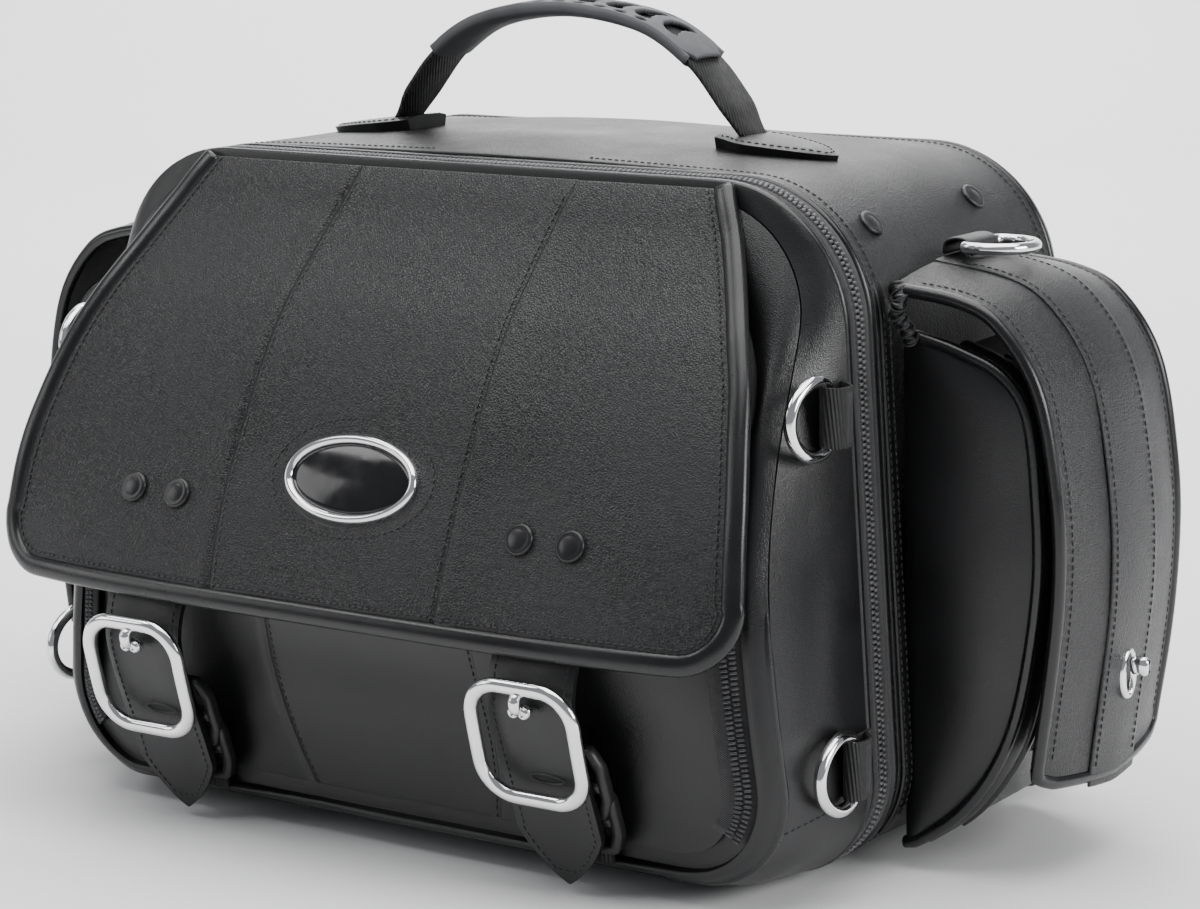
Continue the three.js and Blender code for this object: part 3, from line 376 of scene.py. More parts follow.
def woven(name, dark, light, pitch, ribs=(1, 0, 0), gloss=0.72, sheen=0.25, depth=0.6):
    """Woven tape or webbing: ribs across one direction, broken up by the other threads."""
    look, tree, shader, place = node_material(name)
    shader.inputs["Sheen Weight"].default_value = sheen
    split = tree.nodes.new("ShaderNodeSeparateXYZ")
    tree.links.new(place, split.inputs[0])
    axes = dict(zip("XYZ", split.outputs))
    turn = 2 * math.pi / (pitch * MM)

    def wave(weights):
        total = 0.0
        for axis, weight in zip("XYZ", weights):
            if weight:
                term = math_node(tree, "MULTIPLY", axes[axis], turn * weight)
                total = term if isinstance(total, float) else math_node(tree, "ADD", total, term)
        return math_node(tree, "SINE", total, 0.0)

    warp = wave(ribs)
    weft = wave((0.31 * (1 - ribs[0]), 0.31 * (1 - ribs[1]), 0.31 * (1 - ribs[2])))
    height = math_node(tree, "ADD", warp, math_node(tree, "MULTIPLY", weft, 0.5))
    height = math_node(tree, "ADD", height, noise_node(tree, place, 2500, detail=2))
    bump(tree, shader, height, depth, 0.0003)
    mottle(tree, shader, place, 900, dark, light)
    tree.links.new(map_range(tree, noise_node(tree, place, 300), gloss - 0.08, gloss + 0.12),
                   shader.inputs["Roughness"])
    return look


def metal(name, color, gloss, scuffs=0.06):
    """Plated metal with faint polishing marks and finger haze."""
    look, tree, shader, place = node_material(name)
    shader.inputs["Metallic"].default_value = 1.0
    haze = noise_node(tree, place, 60, detail=5, roughness=0.6)
    tree.links.new(map_range(tree, haze, gloss, gloss + scuffs), shader.inputs["Roughness"])
    dim = tuple(c * 0.86 for c in color)
    tree.links.new(ramp(tree, noise_node(tree, place, 25), [(0.3, dim), (0.65, color)]),
                   shader.inputs["Base Color"])
    bump(tree, shader, noise_node(tree, place, 3500, detail=2), 0.03, 0.0001)
    return look


def moulded(name, dark, light, gloss, texture=900, depth=0.15, metallic=0.0):
    """Moulded plastic, rubber or lacquer with a fine even texture."""
    look, tree, shader, place = node_material(name)
    shader.inputs["Metallic"].default_value = metallic
    mottle(tree, shader, place, 40, dark, light)
    tree.links.new(map_range(tree, noise_node(tree, place, 120), gloss - 0.05, gloss + 0.07),
                   shader.inputs["Roughness"])
    bump(tree, shader, noise_node(tree, place, texture, detail=3), depth, 0.0003)
    return look


GRAINED = leather("grained_leather", (0.0035, 0.0036, 0.0041), (0.0062, 0.0064, 0.0072),
                  0.38, 1.25, 0.55)
SMOOTH = leather("smooth_leather", (0.0035, 0.0036, 0.0041), (0.006, 0.0062, 0.007), 0.33,
                 0.9, 0.22)
EDGING = leather("edging_leather", (0.004, 0.0041, 0.0046), (0.0068, 0.007, 0.0078), 0.25,
                 0.8, 0.1)
LINING = woven("lining_cloth", (0.012, 0.012, 0.013), (0.022, 0.022, 0.024), 0.7, (1, 0, 0), 0.8,
               0.1, 0.3)
TAPE = woven("zip_tape_cloth", (0.009, 0.009, 0.0098), (0.018, 0.018, 0.0195), 0.9,
             (0.5, 0.5, 1), 0.75, 0.15, 0.5)
WEBBING = woven("webbing_cloth", (0.0025, 0.0025, 0.003), (0.009, 0.009, 0.01), 2.1,
                (1, 1, 0.15), 0.6, 0.03, 0.9)
THREAD = woven("sewing_thread", (0.0035, 0.0037, 0.0045), (0.009, 0.0095, 0.012), 0.5,
               (1, 0.5, 1), 0.55, 0.12, 0.4)
TEETH = moulded("zip_teeth_plastic", (0.06, 0.06, 0.064), (0.12, 0.12, 0.126), 0.25)
PLASTIC = moulded("clip_plastic", (0.008, 0.008, 0.009), (0.014, 0.014, 0.015), 0.36)
ENAMEL = moulded("badge_enamel", (0.004, 0.004, 0.005), (0.007, 0.007, 0.008), 0.12, 200,
                 0.02)
RUBBER = moulded("grip_rubber", (0.05, 0.052, 0.056), (0.075, 0.078, 0.083), 0.58, 1400, 0.3)
CHROME = metal("chrome", (0.9, 0.9, 0.91), 0.05)
LACQUER = moulded("black_lacquer", (0.012, 0.012, 0.013), (0.02, 0.02, 0.021), 0.27, 300,
                  0.05, 0.3)


# ------------------------------------------------------------------ mesh builders

def add_piece(name, verts, faces, look, body, stands_for=(), sharp=None):
    """A mesh from points in mm, riding on a CAD body. look is one of the materials above."""
    mesh = bpy.data.meshes.new(name)
    mesh.from_pydata([tuple(float(c) * MM for c in v) for v in verts], [], faces)
    mesh.materials.append(look)
    mesh.polygons.foreach_set("use_smooth", [True] * len(mesh.polygons))
    if sharp:
        mesh.set_sharp_from_angle(angle=math.radians(sharp))
    mesh.update()
    piece = bpy.data.objects.new(name, mesh)
    bpy.context.scene.collection.objects.link(piece)
    if body == BENDING_FLAP:
        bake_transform(piece)
    else:
        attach(piece, body)
    if stands_for:
        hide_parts(*stands_for)
    return piece


def grid_faces(rows, columns, loop=False, ring_rows=False):
    spans = columns if loop else columns - 1
    bands = rows if ring_rows else rows - 1
    return [(r * columns + c, r * columns + (c + 1) % columns,
             (r + 1) % rows * columns + (c + 1) % columns, (r + 1) % rows * columns + c)
            for r in range(bands) for c in range(spans)]


def faces_outward(rows, inside, loop=False):
    """Whether a grid's faces look away from the inside point."""
    normals = grid_normals(rows, loop)
    return float(np.sum(normals * (rows - np.array(inside)))) > 0


def sheet(name, rows, thickness, look, body, inside=(0, 0, 140), loop=False, level=1, edge=0.8,
          stands_for=()):
    """A panel of even thickness behind a grid of points, with softened edges."""
    rows = np.asarray(rows, float)
    faces = grid_faces(rows.shape[0], rows.shape[1], loop)
    if not faces_outward(rows, inside, loop):
        faces = [tuple(reversed(f)) for f in faces]
    piece = add_piece(name, rows.reshape(-1, 3), faces, look, body, stands_for)
    solid = piece.modifiers.new("thickness", "SOLIDIFY")
    solid.thickness = thickness * MM
    solid.offset = -1
    if edge:
        bevel = piece.modifiers.new("edges", "BEVEL")
        bevel.width = edge * MM
        bevel.segments = 2
        bevel.limit_method = "ANGLE"
        bevel.angle_limit = math.radians(50)
    if level:
        fine = piece.modifiers.new("smooth", "SUBSURF")
        fine.levels = fine.render_levels = level
    return piece


def round_angles(count):
    return np.linspace(0, 2 * math.pi, count, endpoint=False)


def oval(across, up, sides):
    return [(across * math.cos(a), up * math.sin(a)) for a in round_angles(sides)]


def circle(radius, sides=12):
    return oval(radius, radius, sides)


def sweep_rows(path, normals, profile, closed=False):
    """Points of a profile carried along a path: one row for each point of the path."""
    path = np.asarray(path, float)
    if closed:
        along = unit(np.roll(path, -1, axis=0) - np.roll(path, 1, axis=0))
    else:
        along = unit(np.gradient(path, axis=0))
    up = np.broadcast_to(np.asarray(normals, float), path.shape)
    side = unit(np.cross(along, up))
    up = unit(np.cross(side, along))
    profile = np.asarray(profile, float)
    if profile.ndim == 2:
        profile = np.broadcast_to(profile, (len(path), *profile.shape))
    return path[:, None] + side[:, None] * profile[..., :1] + up[:, None] * profile[..., 1:]


def sweep(name, path, normals, profile, look, body, closed=False, stands_for=(), level=0, sharp=None):
    """A closed profile (side, up) in mm carried along a path whose up direction is given."""
    rows = sweep_rows(path, normals, profile, closed)
    count, sides = rows.shape[:2]
    faces = grid_faces(count, sides, loop=True, ring_rows=closed)
    if not closed:
        faces += [tuple(reversed(range(sides))), tuple((count - 1) * sides + k for k in range(sides))]
    piece = add_piece(name, rows.reshape(-1, 3), faces, look, body, stands_for, sharp)
    mesh = piece.data
    if signed_volume(mesh) < 0:
        mesh.flip_normals()
    if level:
        fine = piece.modifiers.new("smooth", "SUBSURF")
        fine.levels = fine.render_levels = level
    return piece


def signed_volume(mesh):
    mesh.calc_loop_triangles()
    total = 0.0
    for triangle in mesh.loop_triangles:
        a, b, c = (mesh.vertices[i].co for i in triangle.vertices)
        total += a.dot(b.cross(c))
    return total


def surface_of(piece):
    bpy.context.view_layer.update()
    return BVHTree.FromObject(piece, bpy.context.evaluated_depsgraph_get())


def onto(piece, points, lift=0.0):
    """The nearest points on a piece's surface, raised by lift, and the surface's directions there."""
    tree = surface_of(piece)
    found, normals = [], []
    for p in np.asarray(points, float):
        spot, normal, _, _ = tree.find_nearest(Vector(p) * MM)
        found.append(np.array(spot) / MM + np.array(normal) * lift)
        normals.append(np.array(normal))
    return np.array(found), np.array(normals)


def seen_from(piece, points, direction, lift=0.0):
    """Points dropped onto a piece along a direction, and the surface's directions there."""
    tree = surface_of(piece)
    way = Vector(direction).normalized()
    found, normals = [], []
    for p in np.asarray(points, float):
        spot, normal, _, _ = tree.ray_cast(Vector(p) * MM - way * 0.5, way)
        if spot is not None:
            found.append(np.array(spot) / MM + np.array(normal) * lift)
            normals.append(np.array(normal))
    return np.array(found), np.array(normals)


def joined(name, parts, look, body, stands_for=(), sharp=None):
    """One piece from several lists of points and faces."""
    verts, faces = [], []
    for some_verts, some_faces in parts:
        shift = len(verts)
        verts += [tuple(v) for v in some_verts]
        faces += [tuple(i + shift for i in f) for f in some_faces]
    return add_piece(name, verts, faces, look, body, stands_for, sharp)


STITCH_RINGS = [(-0.5, 0.0), (-0.36, 0.8), (0.0, 1.0), (0.36, 0.8), (0.5, 0.0)]


def stitch_parts(points, normals, pitch=3.3, length=2.5, radius=0.42, closed=False):
    """Stitches along a line that lies on a surface: each dips into the surface at its ends."""
    total = line_length(np.vstack([points, points[:1]]) if closed else points)
    count = max(int(total / pitch), 2)
    stack = resample(np.hstack([points, normals]), count, closed)
    centres, ups = stack[:, :3], unit(stack[:, 3:])
    alongs = unit(np.gradient(centres, axis=0))
    parts = []
    for centre, up, along in zip(centres, ups, alongs):
        side = unit(np.cross(along, up))
        verts = []
        for t, r in STITCH_RINGS:
            middle = centre + along * t * length + up * (radius * (0.55 * r - 0.35))
            if r == 0:
                verts.append(middle)
            else:
                verts += [middle + side * math.cos(a) * radius * r + up * math.sin(a) * radius * r
                          for a in round_angles(6)]
        faces = [(0, 1 + (k + 1) % 6, 1 + k) for k in range(6)]
        for band in range(2):
            start = 1 + band * 6
            faces += [(start + k, start + (k + 1) % 6, start + 6 + (k + 1) % 6, start + 6 + k)
                      for k in range(6)]
        faces += [(19, 13 + k, 13 + (k + 1) % 6) for k in range(6)]
        parts.append((verts, faces))
    return parts


def stitches(name, lines, body, **size):
    """All the stitch lines of one piece. lines are (points, normals) pairs."""
    parts = [part for points, normals in lines for part in stitch_parts(points, normals, **size)]
    return joined(name, parts, THREAD, body)


def revolve(profile, sides=32):
    """Points and faces of a turned form about Z, from (radius, height) pairs, closed at both ends."""
    verts, faces = [], []
    for r, h in profile:
        verts += [(math.cos(a) * r, math.sin(a) * r, h) for a in round_angles(sides)]
    for band in range(len(profile) - 1):
        faces += [(band * sides + k, band * sides + (k + 1) % sides,
                   (band + 1) * sides + (k + 1) % sides, (band + 1) * sides + k) for k in range(sides)]
    faces.append(tuple(reversed(range(sides))))
    faces.append(tuple((len(profile) - 1) * sides + k for k in range(sides)))
    return np.array(verts), faces


def placed(part, centre, up, across=(1, 0, 0)):
    """Turns a part modelled on the XY plane so that its Z lies along up, and moves it to centre."""
    verts, faces = part
    z = unit(np.asarray(up, float))
    x = unit(np.asarray(across, float) - z * np.dot(across, z))
    y = np.cross(z, x)
    verts = np.asarray(verts, float)
    return np.asarray(centre) + verts[:, :1] * x + verts[:, 1:2] * y + verts[:, 2:] * z, faces


def block(x0, x1, y0, y1, z0, z1, round_off=0.0):
    """A small block with chamfered edges, as points and faces."""
    c = min(round_off, (x1 - x0) / 2.2, (y1 - y0) / 2.2, (z1 - z0) / 2.2)
    verts = []
    for z, d in ((z0, c), (z0 + c, 0), (z1 - c, 0), (z1, c)):
        left, right, near, far = x0 + d, x1 - d, y0 + d, y1 - d
        verts += [(left + c, near, z), (right - c, near, z), (right, near + c, z), (right, far - c, z),
                  (right - c, far, z), (left + c, far, z), (left, far - c, z), (left, near + c, z)]
    faces = [tuple(reversed(range(8))), tuple(24 + k for k in range(8))]
    for band in range(3):
        faces += [(band * 8 + k, band * 8 + (k + 1) % 8, (band + 1) * 8 + (k + 1) % 8, (band + 1) * 8 + k)
                  for k in range(8)]
    return np.array(verts), faces


def tooth_parts(path, normals, side, pitch=1.6, reach=2.3, height=1.0, lap=0.8):
    """One side's row of coil teeth along a zip. side is 1 or -1, across the zip."""
    count = int(line_length(path) / pitch)
    stack = resample(np.hstack([path, normals]), count * 2)
    rows = stack[0::2] if side > 0 else stack[1::2]
    alongs = unit(np.gradient(rows[:, :3], axis=0))
    shape, faces = block(-pitch * 0.28, pitch * 0.28, -lap, reach, -0.6, height, 0.35)
    parts = []
    for row, along in zip(rows, alongs):
        up = unit(row[3:])
        across = unit(np.cross(along, up)) * side
        verts = row[:3] + shape[:, :1] * along + shape[:, 1:2] * across + shape[:, 2:] * up
        parts.append((verts, faces if side < 0 else [tuple(reversed(f)) for f in faces]))
    return parts


def mouth_teeth(name, side, body):
    """One side of the main zip's teeth, all the way round the mouth."""
    path, out = closed_ring(inset(CASE, 1.4), SPLIT)
    path, out = np.vstack([path, path[:1]]), np.vstack([out, out[:1]])
    joined(name, tooth_parts(path, out, side, **MAIN_TEETH), TEETH, body)


# ------------------------------------------------------------------ the case

SHELL_RIVETS = [(177.7, -43, 271.8), (176.2, 48, 273.4)]


def crown(x, y):
    """How far the padded top rises at a place: most in the middle, fading out at the front and back."""
    rise = 7 * np.cos(np.clip(np.asarray(x) / 132, -1, 1) * math.pi / 2)
    back_fade = smooth(-np.asarray(y), -CASE_BACK, -CASE_BACK + 34)
    return rise * np.clip((y - CASE_FRONT + 14) / 60, 0, 1) * back_fade


def wall_rows(outline, depths, bulge=0.0, closed=False):
    """Rows of an outline carried from front to back, crowned on top and gently uneven."""
    shape = ring(outline) if closed else arch(outline)
    rows = []
    for y in depths:
        line = at_depth(shape, y)
        on_top = smooth(line[:, 2], CASE["top"] - 12, CASE["top"] - 2)
        line[:, 2] += crown(line[:, 0], y) * on_top
        rows.append(line)
    rows = np.array(rows)
    if bulge:
        ends = np.sin(np.linspace(0, math.pi, len(depths)))[:, None]
        relief = bulge * ripple(rows, 75, 3) * ends
        rows += outward(rows) * relief[..., None]
    return rows


def outward(rows, x=0, z=140):
    """A grid's directions, turned to look away from a line along the depth at x and z."""
    normals = grid_normals(rows)
    centre = np.array([x, rows[..., 1].mean(), z])
    return normals if np.sum(normals * (rows - centre)) > 0 else -normals


def ring_normals(path):
    """Directions pointing out from a closed or open outline in its own plane."""
    along = unit(np.gradient(path, axis=0))
    out = np.cross(along, (0, 1, 0))
    return unit(out if np.sum(out * (path - np.array([0, 0, 140]))) > 0 else -out)


def closed_ring(outline, depth, count=260):
    path = resample(at_depth(ring(outline, corner=14, side=30), depth), count, True)
    along = unit(np.roll(path, -1, axis=0) - np.roll(path, 1, axis=0))
    return path, unit(np.cross(along, (0, 1, 0)) * -1)


def face_grid(outline, seams, depth, rows=46, spans=(16, 14, 16), top=None):
    """A front panel: rows of points across an outline, gathered closely along its seams."""
    low = [outline["bottom"] + outline["low"] * (1 - math.cos(a)) for a in np.linspace(0, math.pi / 2, 9)]
    high = [outline["top"] - outline["high"] * (1 - math.sin(a)) for a in np.linspace(0, math.pi / 2, 13)]
    if top:
        high = [top]
    heights = low + list(np.linspace(low[-1], high[0], rows)[1:-1]) + high
    close = np.array([-3.2, -1.7, -0.8, 0, 0.8, 1.7, 3.2])
    grid = []
    for z in heights:
        edge = half_width(outline, z)
        marks = [float(s(z)) for s in seams]
        xs = [np.linspace(-edge, marks[0] - 5, spans[0])]
        for i, mark in enumerate(marks):
            xs.append(mark + close)
            if i + 1 < len(marks):
                xs.append(np.linspace(mark + 5, marks[i + 1] - 5, spans[1]))
        xs.append(np.linspace(marks[-1] + 5, edge, spans[2]))
        x = np.concatenate(xs)
        grid.append(np.column_stack([x, depth(x, z, marks), np.full(len(x), z)]))
    return np.array(grid)


def build_case():
    depths = [CASE_FRONT, -64, -58, -48, -34, -18, 0, 18, 36, 52, 66, 78, 87, CASE_BACK]
    shell = sheet("case_shell", wall_rows(CASE, depths, 1.5), 4, GRAINED, "case",
                  stands_for=("side_gusset_left", "side_gusset_right", "top_panel"))
    sheet("case_lining", wall_rows(inset(CASE, 4.4), [-66, -30, 0, 30, 60, 91], closed=True), 0.7, LINING,
          "case", loop=True)
    low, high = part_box("base_panel")
    xs = np.linspace(low[0], high[0], 30) / MM
    rows = np.array([[(x, y, 0.2 + 0.5 * ripple([(x, y, 0)], 60)[0]) for x in xs]
                     for y in np.linspace(-86, 92, 16)])
    sheet("case_base", rows, 4.6, GRAINED, "case", inside=(0, 0, 140), stands_for=("base_panel",))
    build_rear()
    build_case_rim()
    lines = []
    for y in (CASE_FRONT + 5.5, CASE_BACK - 5.5):
        path = resample(at_depth(arch(CASE), y), 400)
        lines.append(onto(shell, path, 0.0))
    stitches("case_stitches", lines, "case")
    build_shell_rivets(shell)
    build_sleeve()
    return shell


def build_rear():
    centre = depth_on([(0, 97.2), (140, 97.0), (292, 97.2)])
    outline = inset(CASE, 0.5)
    rows = face_grid(outline, [lambda z: 0.0],
                     lambda x, z, m: centre(z) + 0.5 * ripple([(a, 90, z) for a in x], 70, 5))
    back = sheet("case_rear", rows, 4.4, GRAINED, "case", stands_for=("rear_panel",))
    path, out = closed_ring(inset(CASE, 2.0), 93.4)
    sweep("rear_piping", path, out, circle(2.5), EDGING, "case", closed=True)
    path, out = closed_ring(inset(CASE, 11), 97.2)
    stitches("rear_stitches", [onto(back, path)], "case", closed=True)
    lining = face_grid(inset(CASE, 5), [lambda z: 0.0], lambda x, z, m: 91.6 + 0 * x)
    sheet("rear_lining", lining, 0.6, LINING, "case", level=0, edge=0)


def build_case_rim():
    """Piping, tape and half the main zip around the mouth of the case."""
    path, out = closed_ring(inset(CASE, 2.2), CASE_FRONT - 2.75)
    sweep("case_piping", path, out, circle(PIPING), EDGING, "case", closed=True, stands_for=("case_zip",))
    path, out = closed_ring(inset(CASE, 1.4), SPLIT)
    sweep("case_zip_tape", path, out, [(0.9, -0.6), (8.2, -0.6), (8.2, 0.5), (0.9, 0.4)], TAPE, "case",
          closed=True)
    mouth_teeth("case_zip_teeth", 1, "case")


def build_shell_rivets(shell):
    """Covered rivets at the top corners, each sitting in its own dimple."""
    parts = []
    for side in (-1, 1):
        for x, y, z in SHELL_RIVETS:
            middle = np.array([side * (CASE["shoulder"] - CASE["high"]), y, CASE["top"] - CASE["high"]])
            toward = middle - (side * x, y, z)
            spot, up = seen_from(shell, [(side * x, y, z)], toward)
            dome = [(5.9, -1), (6.3, 0.3), (6.0, 1.2), (4.8, 1.7), (3.9, 1.5), (2.2, 1.9), (0.6, 2.0)]
            parts.append(placed(turned(dome), spot[0], up[0]))
    joined("case_rivets", parts, SMOOTH, "case")


def turned(profile, sides=36, stretch=1.0):
    """A turned form about Z from (radius, height) pairs, stretched along X to make an oval."""
    verts, faces = revolve(profile, sides)
    verts[:, 0] *= stretch
    return verts, faces


def build_sleeve():
    """Flat sleeve on the back for a backrest, open below."""
    (x0, y0, z0), (x1, y1, z1) = box_mm("backrest_sleeve")
    rows = []
    for z in np.linspace(z0, z1, 18):
        pull = 1 - 0.25 * math.sin(math.pi * (z - z0) / (z1 - z0))
        line = []
        for t in np.linspace(-1, 1, 30):
            rise = (1 - abs(t) ** 8) ** 0.5
            line.append((t * x1, lerp(y0 + 0.4, y1 - 0.4 - pull, rise), z))
        rows.append(line)
    rows = np.array(rows, float)
    rows[..., 1] += 0.6 * ripple(rows, 45, 8)
    sleeve = sheet("sleeve_skin", rows, 3, GRAINED, "case", inside=(0, 90, 140),
                   stands_for=("backrest_sleeve",))
    top = np.array([[(t * (x1 - 1), y, z1 - 0.5 + 0.4 * math.sin(t * 9)) for t in np.linspace(-1, 1, 24)]
                    for y in np.linspace(y0 + 0.5, y1 - 2, 4)])
    sheet("sleeve_top", top, 2.6, GRAINED, "case", inside=(0, 105, 140))
    lines = []
    for z in (z0 + 6, z1 - 6):
        lines.append(seen_from(sleeve, [(x, 200, z) for x in np.linspace(x0 + 9, x1 - 9, 150)], (0, -1, 0)))
    for x in (x0 + 9, x1 - 9):
        lines.append(seen_from(sleeve, [(x, 200, z) for z in np.linspace(z0 + 6, z1 - 6, 90)], (0, -1, 0)))
    stitches("sleeve_stitches", lines, "case")


# ------------------------------------------------------------------ the door and its pocket

SKIN_SEAMS_FACE = [depth_on([(19, -38), (41, -46), (70, -50), (102, -47), (258, -47)]),
                   depth_on([(20, 62), (60, 65), (258, 65)])]
SKIN_SEAMS_FLAP = [depth_on([(107, -62), (159, -67), (192, -66), (229, -64), (257, -59), (287, -51)]),
                   depth_on([(107, 59), (156, 57.6), (195, 58), (237, 58), (265, 61), (287, 65.6)])]
POCKET = dict(half=187, shoulder=170, bottom=20, top=258, low=34, high=64)


def seam_relief(x, marks, folds):
    """Stitched grooves where panels meet, or a raised fold where one panel laps the next."""
    relief = np.zeros(len(x))
    for mark, fold in zip(marks, folds):
        d = x - mark
        if fold:
            step = 1.7 * smooth(d, -0.6, 0.5) * (1 - smooth(d, 2.2, 16))
            relief += step - 0.9 * np.exp(-((d + 1.2) / 0.9) ** 2)
        else:
            relief += -1.1 * np.exp(-(d / 1.1) ** 2) + 0.5 * np.exp(-((np.abs(d) - 4.5) / 3) ** 2)
    return relief


def build_door():
    rim, fold = at_depth(ring(CASE), RIM - 2.6), at_depth(ring(FOLD), seam_depth)
    rows = []
    for t in np.linspace(0, 1, 15):
        line = lerp(rim, fold, t)
        line += ring_normals(line) * (1.6 * math.sin(math.pi * t))
        rows.append(line)
    rows = np.array(rows)
    creases = 1.3 * ripple(rows, 42, 11) + 0.7 * ripple(rows, 18, 2)
    ends = np.sin(np.linspace(0, math.pi, 15))[:, None]
    rows += np.array([ring_normals(r) for r in rows]) * (creases * ends)[..., None]
    skin = sheet("door_skin", rows, 3, SMOOTH, "front_door", inside=(0, -110, 140), loop=True,
                 stands_for=("door_gusset",))
    path, out = closed_ring(inset(CASE, 2.2), RIM)
    sweep("rim_piping", path, out, circle(2.6), EDGING, "front_door", closed=True,
          stands_for=("door_piping",))
    path, out = closed_ring(inset(CASE, 1.4), SPLIT)
    sweep("door_zip_tape", path, out, [(-0.9, -0.6), (-7.8, -0.6), (-7.8, 0.5), (-0.9, 0.4)], TAPE,
          "front_door", closed=True, stands_for=("door_zip",))
    mouth_teeth("door_zip_teeth", -1, "front_door")
    inner = face_grid(inset(CASE, 6), [lambda z: 0.0],
                      lambda x, z, m: -82.9 + 0.7 * ripple([(a, 0, z) for a in x], 60, 4))
    sheet("door_lining", inner, 2.6, LINING, "front_door", inside=(0, -200, 140), stands_for=("door_panel",))
    seams = []
    for side in (-1, 1):
        line = [(side * 300, y, z) for y, z in zip(np.linspace(-96, -147, 60), np.linspace(45, 37, 60))]
        seams.append(seen_from(skin, line, (-side, 0, 0)))
    stitches("door_seam_stitches", seams, "front_door")


SAGGING = ("door_skin", "pocket_skin", "pocket_face_skin", "pocket_zip_tape", "pocket_zip_teeth",
           "fold_piping", "door_seam_stitches", "face_stitches")


def settle_door():
    """The soft lower left of the door sags inwards, with everything sewn to it."""
    for name in SAGGING:
        for vertex in bpy.data.objects[name].data.vertices:
            x, y, z = (c / MM for c in vertex.co)
            share = smooth(-x, 90, 200) * smooth(-y, 97, 150) * (1 - smooth(z, 110, 215))
            vertex.co.x += SAG * float(share) * MM


def pocket_edge(z):
    """Depth at which the front pocket's gusset meets its zip, at a height."""
    return seam_depth(z) - 6


def build_pocket():
    fold = at_depth(ring(inset(FOLD, 0.3)), lambda z: seam_depth(z) - 0.8)
    mouth = at_depth(ring(inset(POCKET, -5)), lambda z: pocket_edge(z) + 0.5)
    rows = [at_depth(ring(inset(FOLD, 1.4)), lambda z: seam_depth(z) + 3.5)]
    for t in np.linspace(0, 1, 9):
        line = lerp(fold, mouth, t)
        line[:, 1] -= 3.2 * math.sin(math.pi * t * 0.9)
        rows.append(line)
    rows.append(at_depth(ring(inset(POCKET, -4)), lambda z: pocket_edge(z) + 2.6))
    rows.append(at_depth(ring(inset(POCKET, 13)), lambda z: pocket_edge(z) + 2.8))
    rows = np.array(rows)
    ends = np.sin(np.linspace(0, math.pi, len(rows)))[:, None]
    puckers = 1.2 * ripple(rows, 30, 21)
    rows[..., 1] += puckers * ends
    sheet("pocket_skin", rows, 2.4, SMOOTH, "front_door", inside=(0, -90, 140), loop=True,
          stands_for=("pocket_gusset",))

    outline = inset(POCKET, 9)
    outline["bottom"] -= 6

    def depth(x, z, marks):
        u = np.abs(x) / half_width(outline, z)
        bow = face_depth(z) + (pocket_edge(z) - face_depth(z)) * u ** 5
        puff = 1.1 * ripple([(a, 0, z) for a in x], 55, 31) * (1 - u ** 4)
        return bow - seam_relief(x, marks, (False, True)) - puff
    face = sheet("pocket_face_skin", face_grid(outline, SKIN_SEAMS_FACE, depth), 3, SMOOTH, "front_door",
                 inside=(0, -60, 140), stands_for=("pocket_face",))
    left, right = SKIN_SEAMS_FACE
    drops = [[(left(z) + 3.4, -400, z) for z in np.linspace(24, 140, 160)],
             [(right(z) - 2.6, -400, z) for z in np.linspace(24, 140, 160)]]
    stitches("face_stitches", [seen_from(face, line, (0, 1, 0)) for line in drops], "front_door")
    build_pocket_zip()
    build_pocket_cord()


def build_pocket_zip():
    path = at_depth(arch(inset(POCKET, 1.5), corner=14, side=30), lambda z: pocket_edge(z) - 0.6)
    path = resample(path, 220)[8:-8]
    out = unit(ring_normals(path) * 0.35 + np.array([0, -1, 0]))
    sweep("pocket_zip_tape", path, out, [(-9, -0.7), (9, -0.7), (9, 0.3), (-9, 0.3)], TAPE, "front_door")
    teeth = tooth_parts(path, out, 1, **POCKET_TEETH) + tooth_parts(path, out, -1, **POCKET_TEETH)
    joined("pocket_zip_teeth", teeth, TEETH, "front_door")


def build_pocket_cord():
    """Piping along the fold of the door, up to where the fold fades out near the rim."""
    path = at_depth(arch(inset(FOLD, CORD), corner=14, side=40), seam_depth)
    keep = path[:, 2] < 164
    right, left = path[keep & (path[:, 0] > 0)], path[keep & (path[:, 0] < 0)]
    floor = [(x, float(seam_depth(FOLD["bottom"])), FOLD["bottom"] + CORD)
             for x in np.linspace(-150, 150, 20)]
    line = resample(np.vstack([left, floor, right]), 240)
    out = unit(ring_normals(line) * 0.5 + np.array([0, -1, 0]))
    sizes = np.minimum(1, np.linspace(0, 12, 240))
    sizes = np.minimum(sizes, sizes[::-1]) ** 0.5
    profile = np.array([[(a * s, b * s) for a, b in circle(PIPING)] for s in np.maximum(sizes, 0.15)])
    sweep("fold_piping", line, out, profile, EDGING, "front_door", stands_for=("pocket_piping",))


# ------------------------------------------------------------------ the front flap, badge and rivets

def flap_surface(x, z):
    """Depth of the flap's surface at a place: it curves back towards its sides, most of all low down."""
    t = smooth(177 - z, 0, 70)
    return flap_depth(z) + lerp(3.5, 15, t) * np.abs(np.asarray(x) / 196) ** 4


def flap_direction(x, z):
    """The direction the flap's surface faces at a place."""
    e = 1.0
    dx = float(flap_surface(x + e, z) - flap_surface(x - e, z)) / (2 * e)
    dz = float(flap_surface(x, z + e) - flap_surface(x, z - e)) / (2 * e)
    return unit(np.array([dx, -1.0, dz]))


